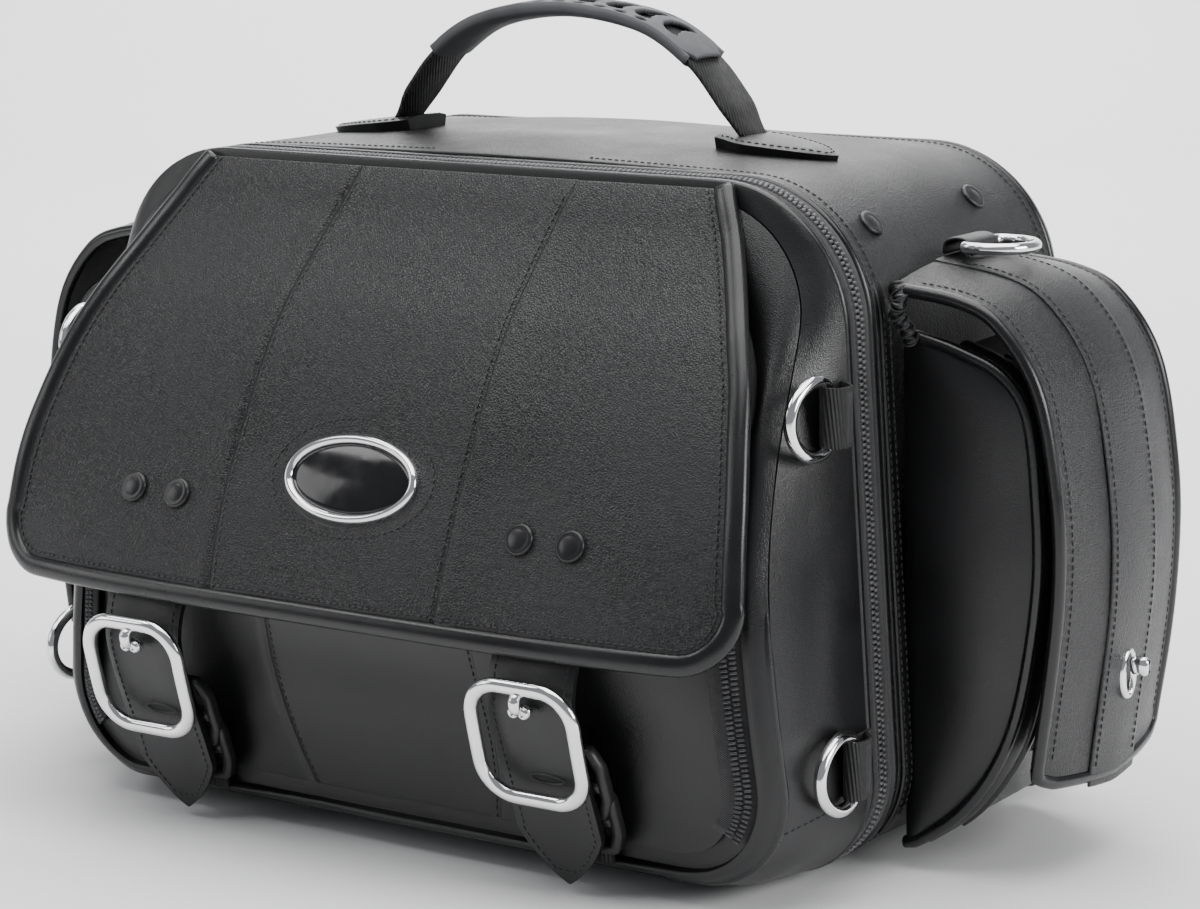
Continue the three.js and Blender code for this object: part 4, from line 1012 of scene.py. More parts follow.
def build_flap():
    outline = inset(FLAP, 2)

    def depth(x, z, marks):
        u = np.abs(x) / half_width(outline, z)
        puff = 1.3 * ripple([(a, 0, z) for a in x], 68, 41) * (1 - u ** 4)
        return flap_surface(x, z) - seam_relief(x, marks, (False, True)) - puff
    grid = face_grid(outline, SKIN_SEAMS_FLAP, depth, rows=40, spans=(20, 18, 20), top=FLAP_ROOT)
    flap = sheet("flap_skin", grid, 3.6, GRAINED, BENDING_FLAP, inside=(0, -60, 140),
                 stands_for=("front_flap",))
    build_flap_edge()
    left, right = SKIN_SEAMS_FLAP
    drops = [[(left(z) + 3.4, -400, z) for z in np.linspace(117, 281, 300)],
             [(right(z) - 3.0, -400, z) for z in np.linspace(117, 281, 300)]]
    lines = [seen_from(flap, line, (0, 1, 0)) for line in drops]
    edge = [(x, -400, z) for x, z in arch_below(inset(FLAP, 10.5))]
    lines.append(seen_from(flap, edge, (0, 1, 0), 0.2))
    around_badge = [(42.5 * math.cos(a), -400, BADGE_Z + 0.5 + 23.5 * math.sin(a))
                    for a in np.linspace(0, 2 * math.pi, 120)]
    lines.append(seen_from(flap, around_badge, (0, 1, 0)))
    stitches("flap_stitches", lines, BENDING_FLAP)
    return flap


def arch_below(outline):
    """An outline from its top right corner, down and under, to its top left corner, as (x, z)."""
    right = list(reversed(right_side(outline, corner=12, side=30)))
    x = right[-1][0]
    floor = [(lerp(x, -x, t), outline["bottom"]) for t in np.linspace(0, 1, 30)[1:-1]]
    return resample(np.array(right + floor + [(-a, b) for a, b in reversed(right)]), 420)


def build_flap_edge():
    """Binding rolled around the free edge of the flap."""
    line = arch_below(inset(FLAP, 4.2))
    path = np.array([(x, float(flap_surface(x, z)) + 1.6, z) for x, z in line])
    up = np.array([flap_direction(x, z) for x, z in line])
    profile = []
    for a in round_angles(16):
        c, s = math.cos(a), math.sin(a)
        profile.append((4.7 * math.copysign(abs(c) ** 0.8, c), 3.3 * math.copysign(abs(s) ** 0.8, s)))
    sweep("flap_binding", path, up, profile, EDGING, BENDING_FLAP)


def build_badge():
    up = flap_direction(0, BADGE_Z)
    low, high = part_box("badge_bezel")
    centre = np.array([0, float(flap_surface(0, BADGE_Z)), BADGE_Z]) - up * 0.4
    a, b = (high[0] - low[0]) / 2 / MM, BADGE_HALF_HEIGHT
    frame_rows = [(0.6, -1), (0, 0.6), (0.3, 2.0), (1.2, 3.1), (2.3, 3.3), (3.4, 2.7), (4.2, 1.5),
                  (4.4, 0.2), (4.2, -1)]
    sections = [(a - d, b - d, h) for d, h in frame_rows]
    joined("badge_rim", [placed(oval_rings(sections, True), centre, up)], CHROME, "front_flap",
           ("badge_bezel",))
    dome = [((a - 4) * s, (b - 4) * s, 0.4 + 2.2 * math.sqrt(max(0, 1 - s * s)))
            for s in (1, 0.97, 0.9, 0.8, 0.66, 0.5, 0.3, 0.05)]
    joined("badge_dome", [placed(oval_rings(dome, False), centre, up)], ENAMEL, "front_flap", ("badge_face",))
    seat = [(a + 2.6, b + 2.6, -0.8), (a + 2.2, b + 2.2, 0.1), (a + 0.6, b + 0.6, 0.35), (a - 3, b - 3, 0.2)]
    joined("badge_seat", [placed(oval_rings(seat, False), centre, up)], SMOOTH, "front_flap")


def oval_rings(sections, hollow, sides=96):
    """Points and faces through stacked ovals given as (half width, half height, rise)."""
    verts = [(a * math.cos(t), b * math.sin(t), h) for a, b, h in sections
             for t in round_angles(sides)]
    faces = grid_faces(len(sections), sides, loop=True, ring_rows=hollow)
    if not hollow:
        faces.append(tuple((len(sections) - 1) * sides + k for k in range(sides)))
    return np.array(verts), faces


def build_flap_rivets(flap):
    for name, side in (("left", -1), ("right", 1)):
        parts = []
        for step in (-RIVET_STEP, RIVET_STEP):
            spot, up = seen_from(flap, [(side * STRAP_X + step, -400, RIVET_Z)], (0, 1, 0))
            dome = [(6.3, -2.0), (6.9, -0.2), (6.9, 0.9), (6.3, 1.7), (5.5, 1.95), (4.9, 1.75), (3.8, 2.05),
                    (2.0, 2.3), (0.3, 2.35)]
            parts.append(placed(turned(dome), spot[0], up[0]))
        joined(f"flap_rivets_{name}_cap", parts, LACQUER, "front_flap", (f"flap_rivets_{name}",))


# ------------------------------------------------------------------ straps, buckles and clips

def strap_outline(v):
    """Half width of a strap at v mm from its tip."""
    if v < 26:
        return STRAP_HALF * (1 - (1 - v / 26) ** 1.35) ** 0.85 + 0.6
    return STRAP_HALF


def build_strap(name, side):
    line = [(z, float(strap_depth(z))) for z in np.linspace(4, 166, 60)]
    path = resample(np.array([(side * STRAP_X, y, z) for z, y in line]), 64)
    length = line_length(path)
    steps = np.linspace(0, length, 64)
    along = unit(np.gradient(path, axis=0))
    up = unit(np.cross(along, (1, 0, 0)))
    up = up if up[0][1] < 0 else -up
    rows = []
    for p, n, v in zip(path, up, steps):
        w = strap_outline(v)
        bulge = 1.2 * smooth(v, 40, 70) * (1 - smooth(v, 120, 150))
        row = []
        for t in np.linspace(-1, 1, 21):
            pad = bulge * (1 - t ** 4) + 0.25 * ripple([p + (t * w, 0, 0)], 14, side * 5)[0]
            row.append(p + np.array([t * w, 0, 0]) + n * (pad - 0.2))
        rows.append(row)
    rows = np.array(rows)
    strap = sheet(f"strap_{name}_leather", rows, 3.3, SMOOTH, "front_flap", inside=(0, 0, 60),
                  stands_for=(f"strap_{name}",))
    edge = []
    right = [(strap_outline(v) - 3.4, v) for v in np.linspace(6.5, 108, 90)]
    for w, v in list(reversed(right)) + [(-w, v) for w, v in right]:
        p = [np.interp(v, steps, path[:, k]) for k in range(3)]
        edge.append((p[0] + w, -400, p[2]))
    lines = [seen_from(strap, edge, (0, 1, 0))]
    stitches(f"strap_{name}_stitches", lines, "front_flap")
    spot, way = seen_from(strap, [(side * STRAP_X + 2, -400, 54)], (0, 1, 0))
    lip = [(9.2, 3.2, -0.6), (9.0, 3.0, 0.35), (8.2, 2.4, 0.6), (7.6, 1.9, 0.2), (7.0, 1.3, -0.5),
           (6.5, 0.9, -0.55)]
    joined(f"strap_{name}_slot", [placed(oval_rings(lip, False, 48), spot[0], way[0])], SMOOTH, "front_flap")
    return strap


def frame_outline(half_width_mm, half_height, corner, count=96):
    """A rounded rectangle as (x, y) points."""
    points = []
    for sx, sy, start in ((1, 1, 0), (-1, 1, 90), (-1, -1, 180), (1, -1, 270)):
        for a in np.linspace(start, start + 90, 10):
            r = math.radians(a)
            points.append((sx * (half_width_mm - corner) + corner * math.cos(r),
                           sy * (half_height - corner) + corner * math.sin(r), 0))
    return resample(np.array(points), count, True)


def build_buckle(name, side, strap):
    (x0, _, _), (x1, _, _) = box_mm(f"buckle_{name}")
    here, _ = seen_from(strap, [(side * STRAP_X, -400, BUCKLE_Z)], (0, 1, 0))
    lean = float(strap_depth(BUCKLE_Z + 20) - strap_depth(BUCKLE_Z - 20)) / 40
    slope = unit(np.array([0, -1.0, lean]))
    centre = here[0] + slope * 4.0
    line = frame_outline((x1 - x0) / 2 - 3.2, BUCKLE_HALF_HEIGHT - 3.2, BUCKLE_CORNER)
    verts, _ = placed((line, []), centre, slope)
    ends = np.abs(line[:, 1]) / BUCKLE_HALF_HEIGHT
    bent = verts + slope * (1.2 * (1 - ends ** 2))[:, None]
    profile = oval(BUCKLE_WIRE, 2.7, 16)
    sweep(f"buckle_{name}_frame", bent, slope, profile, CHROME, "front_flap", closed=True,
          stands_for=(f"buckle_{name}",))
    prong = spline([(0, 22.5, 0.2), (0, 21.5, 3.0), (0, 18.5, 3.4), (0, 16.0, 0.6)], 24)
    prong, _ = placed((prong, []), centre, slope)
    sweep(f"buckle_{name}_prong", prong, slope, circle(2.7, 16), CHROME, "front_flap")
    parts = []
    for x in (-2.5, 2.5):
        spot, _ = placed((np.array([(x, 15.5, -0.6)]), []), centre, slope)
        ball = [(0.4, -1.4), (2.4, -0.8), (3.0, 0.8), (2.9, 2.4), (2.1, 3.8), (1.1, 4.3), (0.9, 3.5),
                (0.2, 3.3)]
        parts.append(placed(turned(ball, 24), spot[0], slope))
    joined(f"buckle_{name}_knobs", parts, CHROME, "front_flap")


def build_clip(name):
    """Side-release clip behind a strap: socket on the pocket, plug on the flap."""
    for part, body, face in (("clip_socket", "front_door", 1), ("clip_plug", "front_flap", -1)):
        node = f"{part}_{name}"
        (x0, y0, z0), (x1, y1, z1) = box_mm(node)
        middle, half = (x0 + x1) / 2 + CLIP_OFFSET, (x1 - x0) / 2 + 3
        tilt = math.atan2(float(strap_depth(z1) - strap_depth(z0)), z1 - z0)
        way = np.array([0, -math.cos(tilt), math.sin(tilt)])
        centre = np.array([middle, (y0 + y1) / 2, (z0 + z1) / 2])
        tall = (z1 - z0) / 2 / math.cos(tilt) - 2.5
        outline = []
        for sx, sy in ((1, 1), (-1, 1), (-1, -1), (1, -1)):
            outline += [(sx * half, sy * tall * 0.5), (sx * half * 0.82, sy * tall)][::sx * sy]
        parts = []
        frame_line = resample(np.array([(a, b, 0) for a, b in outline]), 60, True)
        rows = sweep_rows(frame_line, (0, 0, 1), [(-2.4, -1.7), (-1.7, -2.4), (1.7, -2.4), (2.2, -1.7),
                                                  (2.2, 1.7), (1.7, 2.4), (-1.7, 2.4), (-2.4, 1.7)], True)
        parts.append(placed((rows.reshape(-1, 3), grid_faces(60, 8, loop=True, ring_rows=True)), centre, way))
        bars = [block(-half + 2, half - 2, -tall * 0.15 - 2.5, -tall * 0.15 + 2.5, -2, 2, 0.8)]
        bars += [block(x - 1.6, x + 1.6, -tall * 0.9, tall * 0.9, -1.9, 1.9, 0.7)
                 for x in (-half * 0.45, half * 0.45)]
        parts += [placed(bar, centre, way) for bar in bars]
        joined(f"{node}_body", parts, PLASTIC, body, (node,))
        z_from, z_to = (z0 - 6, z0 + 10) if face > 0 else (z1 - 8, 118)
        webbing_rows = []
        for z in np.linspace(z_from, z_to, 16):
            share = 0.25 if face > 0 else 0.93
            y = lerp(float(face_depth(max(z, 20))) - 1.6, float(strap_depth(z)) + 3.6, share)
            webbing_rows.append([(middle + t * 12.5, y, z) for t in np.linspace(-1, 1, 8)])
        sheet(f"{node}_webbing", np.array(webbing_rows), 1.5, WEBBING, body, inside=(0, 0, 60), edge=0.3)


# ------------------------------------------------------------------ rings and loops

def build_ring_set(level, name, side):
    """D-ring on a webbing loop, on the side of the door."""
    ring_name, loop_name = f"ring_{level}_{name}", f"ring_loop_{level}_{name}"
    (x0, y0, z0), (x1, _, z1) = box_mm(ring_name)
    wire = RING_WIRE
    middle = (z0 + z1) / 2
    bar = np.array([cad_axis(ring_name)[0], -113.0, middle])
    tip = np.array([x0 + wire if side < 0 and abs(x0) < abs(bar[0]) else (x0 + x1) / 2, y0 + wire, middle])
    far = tip - bar
    half = (z1 - z0) / 2 - wire
    line = []
    for a in np.linspace(-98, 98, 40):
        r = math.radians(a)
        tuck = 1 - 0.16 * max(0.0, (abs(a) - 66) / 32) ** 2
        line.append(bar + far * max(0.0, 0.12 + 0.88 * math.cos(r))
                    + np.array([0, 0, half * math.sin(r) * tuck]))
    path = resample(np.array(line), 90, True)
    flat = unit(np.cross(far, (0, 0, 1.0)))
    sweep(f"{ring_name}_wire", path, flat, circle(wire, 14), CHROME, ring_name, closed=True,
          stands_for=(ring_name,))
    (lx0, _, lz0), (lx1, _, lz1) = box_mm(loop_name)
    root = lx0 if side > 0 else lx1
    tops = lx1 if side > 0 else lx0
    rows = [loop_section(t, root, tops, side, (lz0, lz1)) for t in np.linspace(0, 1, 26)]
    sheet(f"{loop_name}_webbing", np.array(rows), 1.4, WEBBING, "front_door",
          inside=(bar[0], bar[1], middle), edge=0.25, stands_for=(loop_name,))
    tack = block(-2.0, 2.0, -(lz1 - lz0) / 2 + 2, (lz1 - lz0) / 2 - 2, 0, 1.1, 0.4)
    spot = np.array([tops - side * 0.9, -108.5, middle])
    joined(f"{loop_name}_tack", [placed(tack, spot, (side, 0, 0), (0, 1, 0))], THREAD, "front_door")


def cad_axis(body):
    """Where a body's own joint sits, in mm."""
    for joint in frame["joints"]:
        if joint["child"] == body:
            return [c / MM for c in joint["pos_m"]]
    raise KeyError(body)


def loop_section(t, root, tops, side, heights):
    """A row of points across a webbing loop that runs forward, around the ring's bar and back."""
    radius = abs(tops - root) / 2
    middle = (tops + root) / 2
    front = -117 + radius
    back = -93.0
    if t < 0.36:
        x, y = root + side * 0.2, lerp(back, front, t / 0.36)
    elif t < 0.64:
        a = (t - 0.36) / 0.28 * math.pi
        x, y = middle - side * radius * math.cos(a), front - radius * math.sin(a)
    else:
        y = lerp(front, back, (t - 0.64) / 0.36)
        x = lerp(tops, root + side * 1.7, float(smooth(y, -106, -95)))
    return [(x, y, z) for z in np.linspace(heights[0], heights[1], 9)]


# ------------------------------------------------------------------ side pockets and side flaps

def build_side_pocket(name, side):
    front, back = POCKET_FRONT, POCKET_BACK
    count = 44
    base = spline([(x, 0, z) for x, z in SIDE_POCKET_LINE], count)
    root = np.column_stack([np.interp(np.linspace(0, 1, count), [0, 1], [200, 203]), np.zeros(count),
                            np.linspace(226, 10, count)])

    def end_rows(y, puff, direction):
        rows = []
        for t in np.linspace(0, 1, 12):
            line = lerp(root, base, t)
            line[:, 0] *= side
            bulge = puff * math.sin(math.pi * min(t * 1.05, 1)) ** 0.7
            line[:, 1] = y + direction * bulge * np.sin(np.linspace(0.12, math.pi - 0.12, count)) ** 0.4
            rows.append(line)
        rows = np.array(rows)
        rows[..., 1] += direction * 0.9 * ripple(rows, 38, side * 9 + y) * np.linspace(0, 1, 12)[:, None]
        return rows
    for end, y, direction in (("front", front, -1), ("rear", back, 1)):
        sheet(f"side_pocket_{end}_{name}_skin", end_rows(y + direction * -1.5, 6.5, direction), 3, SMOOTH,
              "case", inside=(side * 225, 0, 120), stands_for=(f"side_pocket_{end}_{name}",))
        whole = resample(np.vstack([[(205, 0, 229)], base, [(204.5, 0, 11)]]), 60)
        line = whole.copy()
        line[:, 0] = side * (line[:, 0] - 1.0)
        line[:, 1] = y + direction * 0.4
        out = unit(np.column_stack([np.gradient(whole[:, 2]) * -side, np.full(60, direction * 1.0),
                                    np.gradient(whole[:, 0])]))
        sweep(f"side_pocket_{end}_{name}_piping", line, out, circle(PIPING), EDGING, "case")
    rows = []
    for y in (-55.5, -53, -50, -47, -44, -42, -40, -32, -20, -6, 8, 22, 34, 43, 48.5):
        t = (y - front) / (back - front)
        line = base.copy()
        roll = 3.2 * math.sin(math.pi * np.clip((y - front) / 15, 0, 1))
        swell = 2.4 * math.sin(math.pi * t) - 0.8 + roll
        away = unit(np.column_stack([-np.gradient(base[:, 2]), np.zeros(count), np.gradient(base[:, 0])]))
        line += away * swell
        line[:, 0] *= side
        line[:, 1] = y
        rows.append(line)
    rows = np.array(rows)
    rows += grid_normals(rows) * (0.8 * ripple(rows, 30, side * 4))[..., None]
    wrap = sheet(f"side_pocket_wrap_{name}_skin", rows, 3, SMOOTH, "case", inside=(side * 215, 0, 120),
                 stands_for=(f"side_pocket_wrap_{name}",))
    welt, away = onto(wrap, [(side * (x + 12), -41.5, z) for x, _, z in base[1:-1]], 0.4)
    sweep(f"side_pocket_roll_{name}_piping", welt, away, circle(2.0), EDGING, "case")
    build_side_zip(name, side, base, wrap)
    build_root_seam(name, side)
    build_gather(name, side)


def build_side_zip(name, side, base, wrap):
    """Zip along the front of the side pocket's wrap, with a hanging pull."""
    line = base[3:-9].copy()
    line[:, 0] = side * (line[:, 0] + 10)
    line[:, 1] = -32
    path, out = onto(wrap, line, 0.6)
    path[:, 1] = -32
    path = resample(path, 130)
    out = np.array([out[int(i * len(out) / 130)] for i in range(130)])
    sweep(f"side_zip_{name}_tape", path, out, [(-5.5, -0.5), (5.5, -0.5), (5.5, 0.5), (-5.5, 0.5)], TAPE,
          "case")
    joined(f"side_zip_{name}_teeth", tooth_parts(path, out, 1) + tooth_parts(path, out, -1), TEETH, "case")
    spot = path[64]
    slider = block(-5.5, 5.5, -6, 6, 0.2, 3.2, 1.2)
    tab = block(-3.6, 3.6, -1.2, 1.2, -40, -4, 0.9)
    parts = [placed(slider, spot, (side, 0, 0), (0, 1, 0)),
             (tab[0][:, [1, 0, 2]] + spot + (side * 4.2, 0, 0), tab[1])]
    joined(f"side_zip_{name}_pull", parts, LACQUER, "case")


def build_gather(name, side):
    """Whip-stitched roll that gathers the front root of the side flap down to the pocket seam."""
    points = [(199, -59, 249), (202.5, -63, 244), (201.5, -64, 238), (205, -62.5, 232), (206.5, -60, 225)]
    path = spline([(side * x, y, z) for x, y, z in points], 60)
    sizes = [1 + 0.22 * math.sin(i * 0.95) for i in range(60)]
    profile = np.array([[(a * s, b * s) for a, b in circle(2.9)] for s in sizes])
    sweep(f"side_gather_{name}", path, (side, -0.6, 0.2), profile, SMOOTH, "case")
    wraps = []
    for i in range(6, 56, 8):
        turn = np.array([(0, math.cos(a) * 3.4, math.sin(a) * 3.4) for a in round_angles(20)])
        along = unit(path[i + 1] - path[i - 1] + (0, 0.6, 0))
        round_it, _ = placed((turn[:, [1, 2, 0]], []), path[i], along, (1, 0, 0.2))
        rows = sweep_rows(round_it, along, circle(0.5, 6), True)
        wraps.append((rows.reshape(-1, 3), grid_faces(20, 6, loop=True, ring_rows=True)))
    joined(f"side_gather_{name}_thread", wraps, THREAD, "case")


def build_root_seam(name, side):
    """Double-stitched strip where a side pocket is sewn to the case."""
    rows = []
    for z in np.linspace(14, 258, 64):
        edge = half_width(CASE, z)
        lift = 1.0 * (1 - smooth(z, 236, 256)) - 1.4 * smooth(z, 240, 258)
        rows.append([(side * (edge + lift + 0.7 * math.cos(t * 1.4)), y, z)
                     for t, y in zip(np.linspace(-1, 1, 6), np.linspace(-65.5, -57, 6))])
    strip = sheet(f"root_strip_{name}", np.array(rows), 1.6, SMOOTH, "case", inside=(0, -60, 140))
    lines = [seen_from(strip, [(side * 400, y, z) for z in np.linspace(24, 236, 260)], (-side, 0, 0))
             for y in (-63.6, -59.4)]
    stitches(f"root_strip_{name}_stitches", lines, "case")


END_ROUNDING = [(-62, 10), (-50, 2.5), (-30, -0.5), (-5, -4), (20, -0.5), (40, 2.5), (52, 10)]


def flap_end(y):
    """How far above the centre tongue the side flap's lower edge sits at a depth."""
    ys, rises = zip(*END_ROUNDING)
    return float(np.interp(y, ys, rises))


def side_flap_line(y, count=46, lift=0.0):
    points = spline([(x, 0, z) for x, z in SIDE_FLAP_LINE], count)
    out = unit(np.column_stack([-np.gradient(points[:, 2]), np.zeros(count), np.gradient(points[:, 0])]))
    t = (y + 5) / 57
    rise = 7 * (1 - t * t)
    shape = points + out * (lift + rise)
    low = np.linspace(0, 1, count) ** 3
    shape[:, 2] += flap_end(y) * low * 0.6
    return shape, out


def build_side_flap(name, side):
    body = f"side_flap_{name}"
    low, high = [np.array(c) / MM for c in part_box(body)]
    reach = high[0] if side > 0 else -low[0]
    top = high[2]
    sample = np.vstack([side_flap_line(y)[0] for y in (-62, -5, 52)])
    shift_x, shift_z = reach - sample[:, 0].max() - 0.2, top - sample[:, 2].max() - 0.2

    def rows_between(y0, y1, steps, lift=0.0):
        rows = []
        for y in np.linspace(y0, y1, steps):
            line = side_flap_line(y, lift=lift)[0]
            line[:, 0] = side * (line[:, 0] + shift_x)
            line[:, 2] += shift_z
            line[:, 1] = y
            rows.append(line)
        return np.array(rows)
    skin_rows = rows_between(-60, 50, 24)
    skin_rows += outward(skin_rows, side * 215, 120) * (0.8 * ripple(skin_rows, 45, side * 13))[..., None]
    skin = sheet(f"{body}_skin", skin_rows, 3.4, GRAINED, body, inside=(side * 200, 0, 120),
                 stands_for=(body,))
    band_rows = rows_between(-26, 16, 12, 1.1)
    band_rows[:, -1, 2] -= 4.5
    band = sheet(f"{body}_band", band_rows, 1.8, GRAINED, body, inside=(side * 200, 0, 120))
    edge = np.vstack([skin_rows[0], skin_rows[1:-1, -1], skin_rows[-1][::-1]])
    out = outward(skin_rows, side * 215, 120)
    edge_out = np.vstack([out[0], out[1:-1, -1], out[-1][::-1]])
    both = resample(np.hstack([edge, edge_out]), 170)
    profile = oval(3.0, 2.9, 14)
    sweep(f"{body}_piping", both[:, :3] - unit(both[:, 3:]) * 1.2, unit(both[:, 3:]), profile, EDGING, body)
    lines = []
    for y in (-53.5, 43.5):
        lines.append(onto(skin, rows_between(y, y + 0.1, 2, 2.5)[0][2:-2]))
    for y in (-22.5, 12.5):
        lines.append(onto(band, rows_between(y, y + 0.1, 2, 3.5)[0][2:-1]))
    stitches(f"{body}_stitches", lines, body)
    build_lock(name, side)
    build_side_ring(name, side)


def build_lock(name, side):
    """Turn lock: an oval plate with a rim on the flap and a paddle knob on the pocket."""
    (x0, y0, z0), (x1, y1, z1) = box_mm(f"lock_plate_{name}")
    centre = np.array([x0 if side > 0 else x1, (y0 + y1) / 2, (z0 + z1) / 2])
    sections = [(11.0, 6.5, 0.2), (11.4, 6.9, 1.6), (10.6, 6.1, 3.2), (9.4, 4.5, 3.4), (8.7, 3.1, 2.4),
                (8.6, 2.9, 0.2)]
    parts = [placed(oval_rings(sections, True, 56), centre, (side, 0, 0), (0, 0, 1))]
    for z in (z0 - 1.2, z1 + 1.2):
        stud = [(3.2, 0.2), (3.3, 1.6), (2.4, 2.5), (0.8, 2.8), (0.2, 2.8)]
        parts.append(placed(turned(stud, 20), (centre[0], centre[1], z), (side, 0, 0)))
    joined(f"lock_plate_{name}_oval", parts, CHROME, f"side_flap_{name}", (f"lock_plate_{name}",))
    (x0, y0, z0), (x1, y1, z1) = box_mm(f"lock_knob_{name}")
    middle = np.array([0, (y0 + y1) / 2, (z0 + z1) / 2])
    near, far = (x0, x1) if side > 0 else (x1, x0)
    stem = placed(turned([(2.0, 0), (2.0, abs(far - near) - 7), (1.9, abs(far - near) - 6)], 16),
                  middle + (near, 0, 0), (side, 0, 0))
    paddle = block(-(z1 - z0) / 2, (z1 - z0) / 2, -2.1, 2.1, abs(far - near) - 8.5, abs(far - near), 1.3)
    key = placed(paddle, middle + (near, 0, 0), (side, 0, 0), (0, 0, 1))
    joined(f"lock_knob_{name}_key", [stem, key], CHROME, f"lock_knob_{name}", (f"lock_knob_{name}",))


def build_side_ring(name, side):
    """Ring lying on the root of the side flap, held by a short leather loop."""
    (x0, y0, z0), (x1, y1, z1) = box_mm(f"side_ring_{name}")
    wire = SIDE_RING_WIRE
    near, far = (x0, x1) if side > 0 else (x1, x0)
    near_z, far_z = ring_slope(f"side_ring_{name}", near, far)
    half = (y1 - y0) / 2 - wire
    y = (y0 + y1) / 2
    inner, outer = near + side * wire, far - side * wire
    line = [(inner, y - half * 0.8, near_z)]
    for a in np.linspace(-90, 90, 20):
        r = math.radians(a)
        t = 0.35 + 0.65 * math.cos(r)
        line.append((lerp(inner, outer, t), y + half * math.sin(r), lerp(near_z, far_z, t)))
    line.append((inner, y + half * 0.8, near_z))
    path = spline(line, 80, True)
    flat = unit(np.cross(np.array([outer - inner, 0, far_z - near_z]), (0, 1.0, 0)))
    sweep(f"side_ring_{name}_wire", path, flat, circle(wire, 14), CHROME, f"side_ring_{name}", closed=True,
          stands_for=(f"side_ring_{name}",))
    (x0, y0, z0), (x1, y1, z1) = box_mm(f"side_ring_loop_{name}")
    rows = []
    for t in np.linspace(0, 1, 14):
        a = t * math.pi
        x = (x0 + x1) / 2 - math.cos(a) * (x1 - x0 - 1) / 2
        z = z0 + (z1 - z0 - 0.2) * math.sin(a) ** 0.5
        rows.append([(x, yy, z) for yy in np.linspace(y0 + 0.3, y1 - 0.3, 9)])
    sheet(f"side_ring_loop_{name}_leather", np.array(rows), 1.8, SMOOTH, f"side_flap_{name}",
          inside=((x0 + x1) / 2, y, z0 - 5), stands_for=(f"side_ring_loop_{name}",))


def ring_slope(node, near, far):
    """Heights of a ring's middle at its near and far ends, read from its CAD points."""
    points = np.array([v.co for v in frame["nodes"][node].data.vertices]) / MM
    heights = []
    for x in (near, far):
        close = points[np.abs(points[:, 0] - x) < 4]
        heights.append(float(close[:, 2].mean()) if len(close) else float(points[:, 2].mean()))
    return heights


# ------------------------------------------------------------------ carrying handle

HANDLE_HALF = [(95.2, 300.4), (92, 304.8), (83, 317.5), (68, 333.5), (42, 348), (0, 354)]
HANDLE_Y = -3


def handle_path(count):
    left = [(-x, HANDLE_Y, z) for x, z in HANDLE_HALF]
    right = [(x, HANDLE_Y, z) for x, z in reversed(HANDLE_HALF[:-1])]
    path = spline(left + right, count)
    along = unit(np.gradient(path, axis=0))
    return path, unit(np.cross(along, (0, 1, 0)))


def build_handle(shell):
    path, up = handle_path(90)
    widths = [13.5 * (0.7 + 0.3 * float(smooth(min(i, 89 - i), 0, 7))) for i in range(90)]
    ribs = np.array([[(s * w, h) for s, h in ((-1, -1.1), (1, -1.1), (1, 1.1), (-1, 1.1))] for w in widths])
    sweep("handle_webbing", path, up, ribs, WEBBING, "handle", stands_for=("handle_strap",))
    build_grip()
    for name, side in (("left", -1), ("right", 1)):
        build_patch(name, side, shell)


def grip_open(u, v):
    """Whether the rubber is cut away at u along (-1 to 1) and v across (-1 to 1)."""
    for k in range(-5, 6):
        centre = k * 0.145
        if abs(k) <= 4 and ((u - centre) / 0.036) ** 2 + ((abs(v) - 0.8) / 0.1) ** 2 < 1:
            return True
    for k in range(1, 5):
        centre = k * 0.2 - 0.04
        inner = ((abs(u) - centre) / 0.1) ** 2 + (v / 0.6) ** 2 < 1
        bite = ((abs(u) - centre - 0.12) / 0.1) ** 2 + (v / 0.7) ** 2 < 1
        if inner and not bite:
            return True
    return abs(u) < 0.06 and abs(v) < 0.4 and (u / 0.06) ** 2 + (v / 0.4) ** 2 < 1


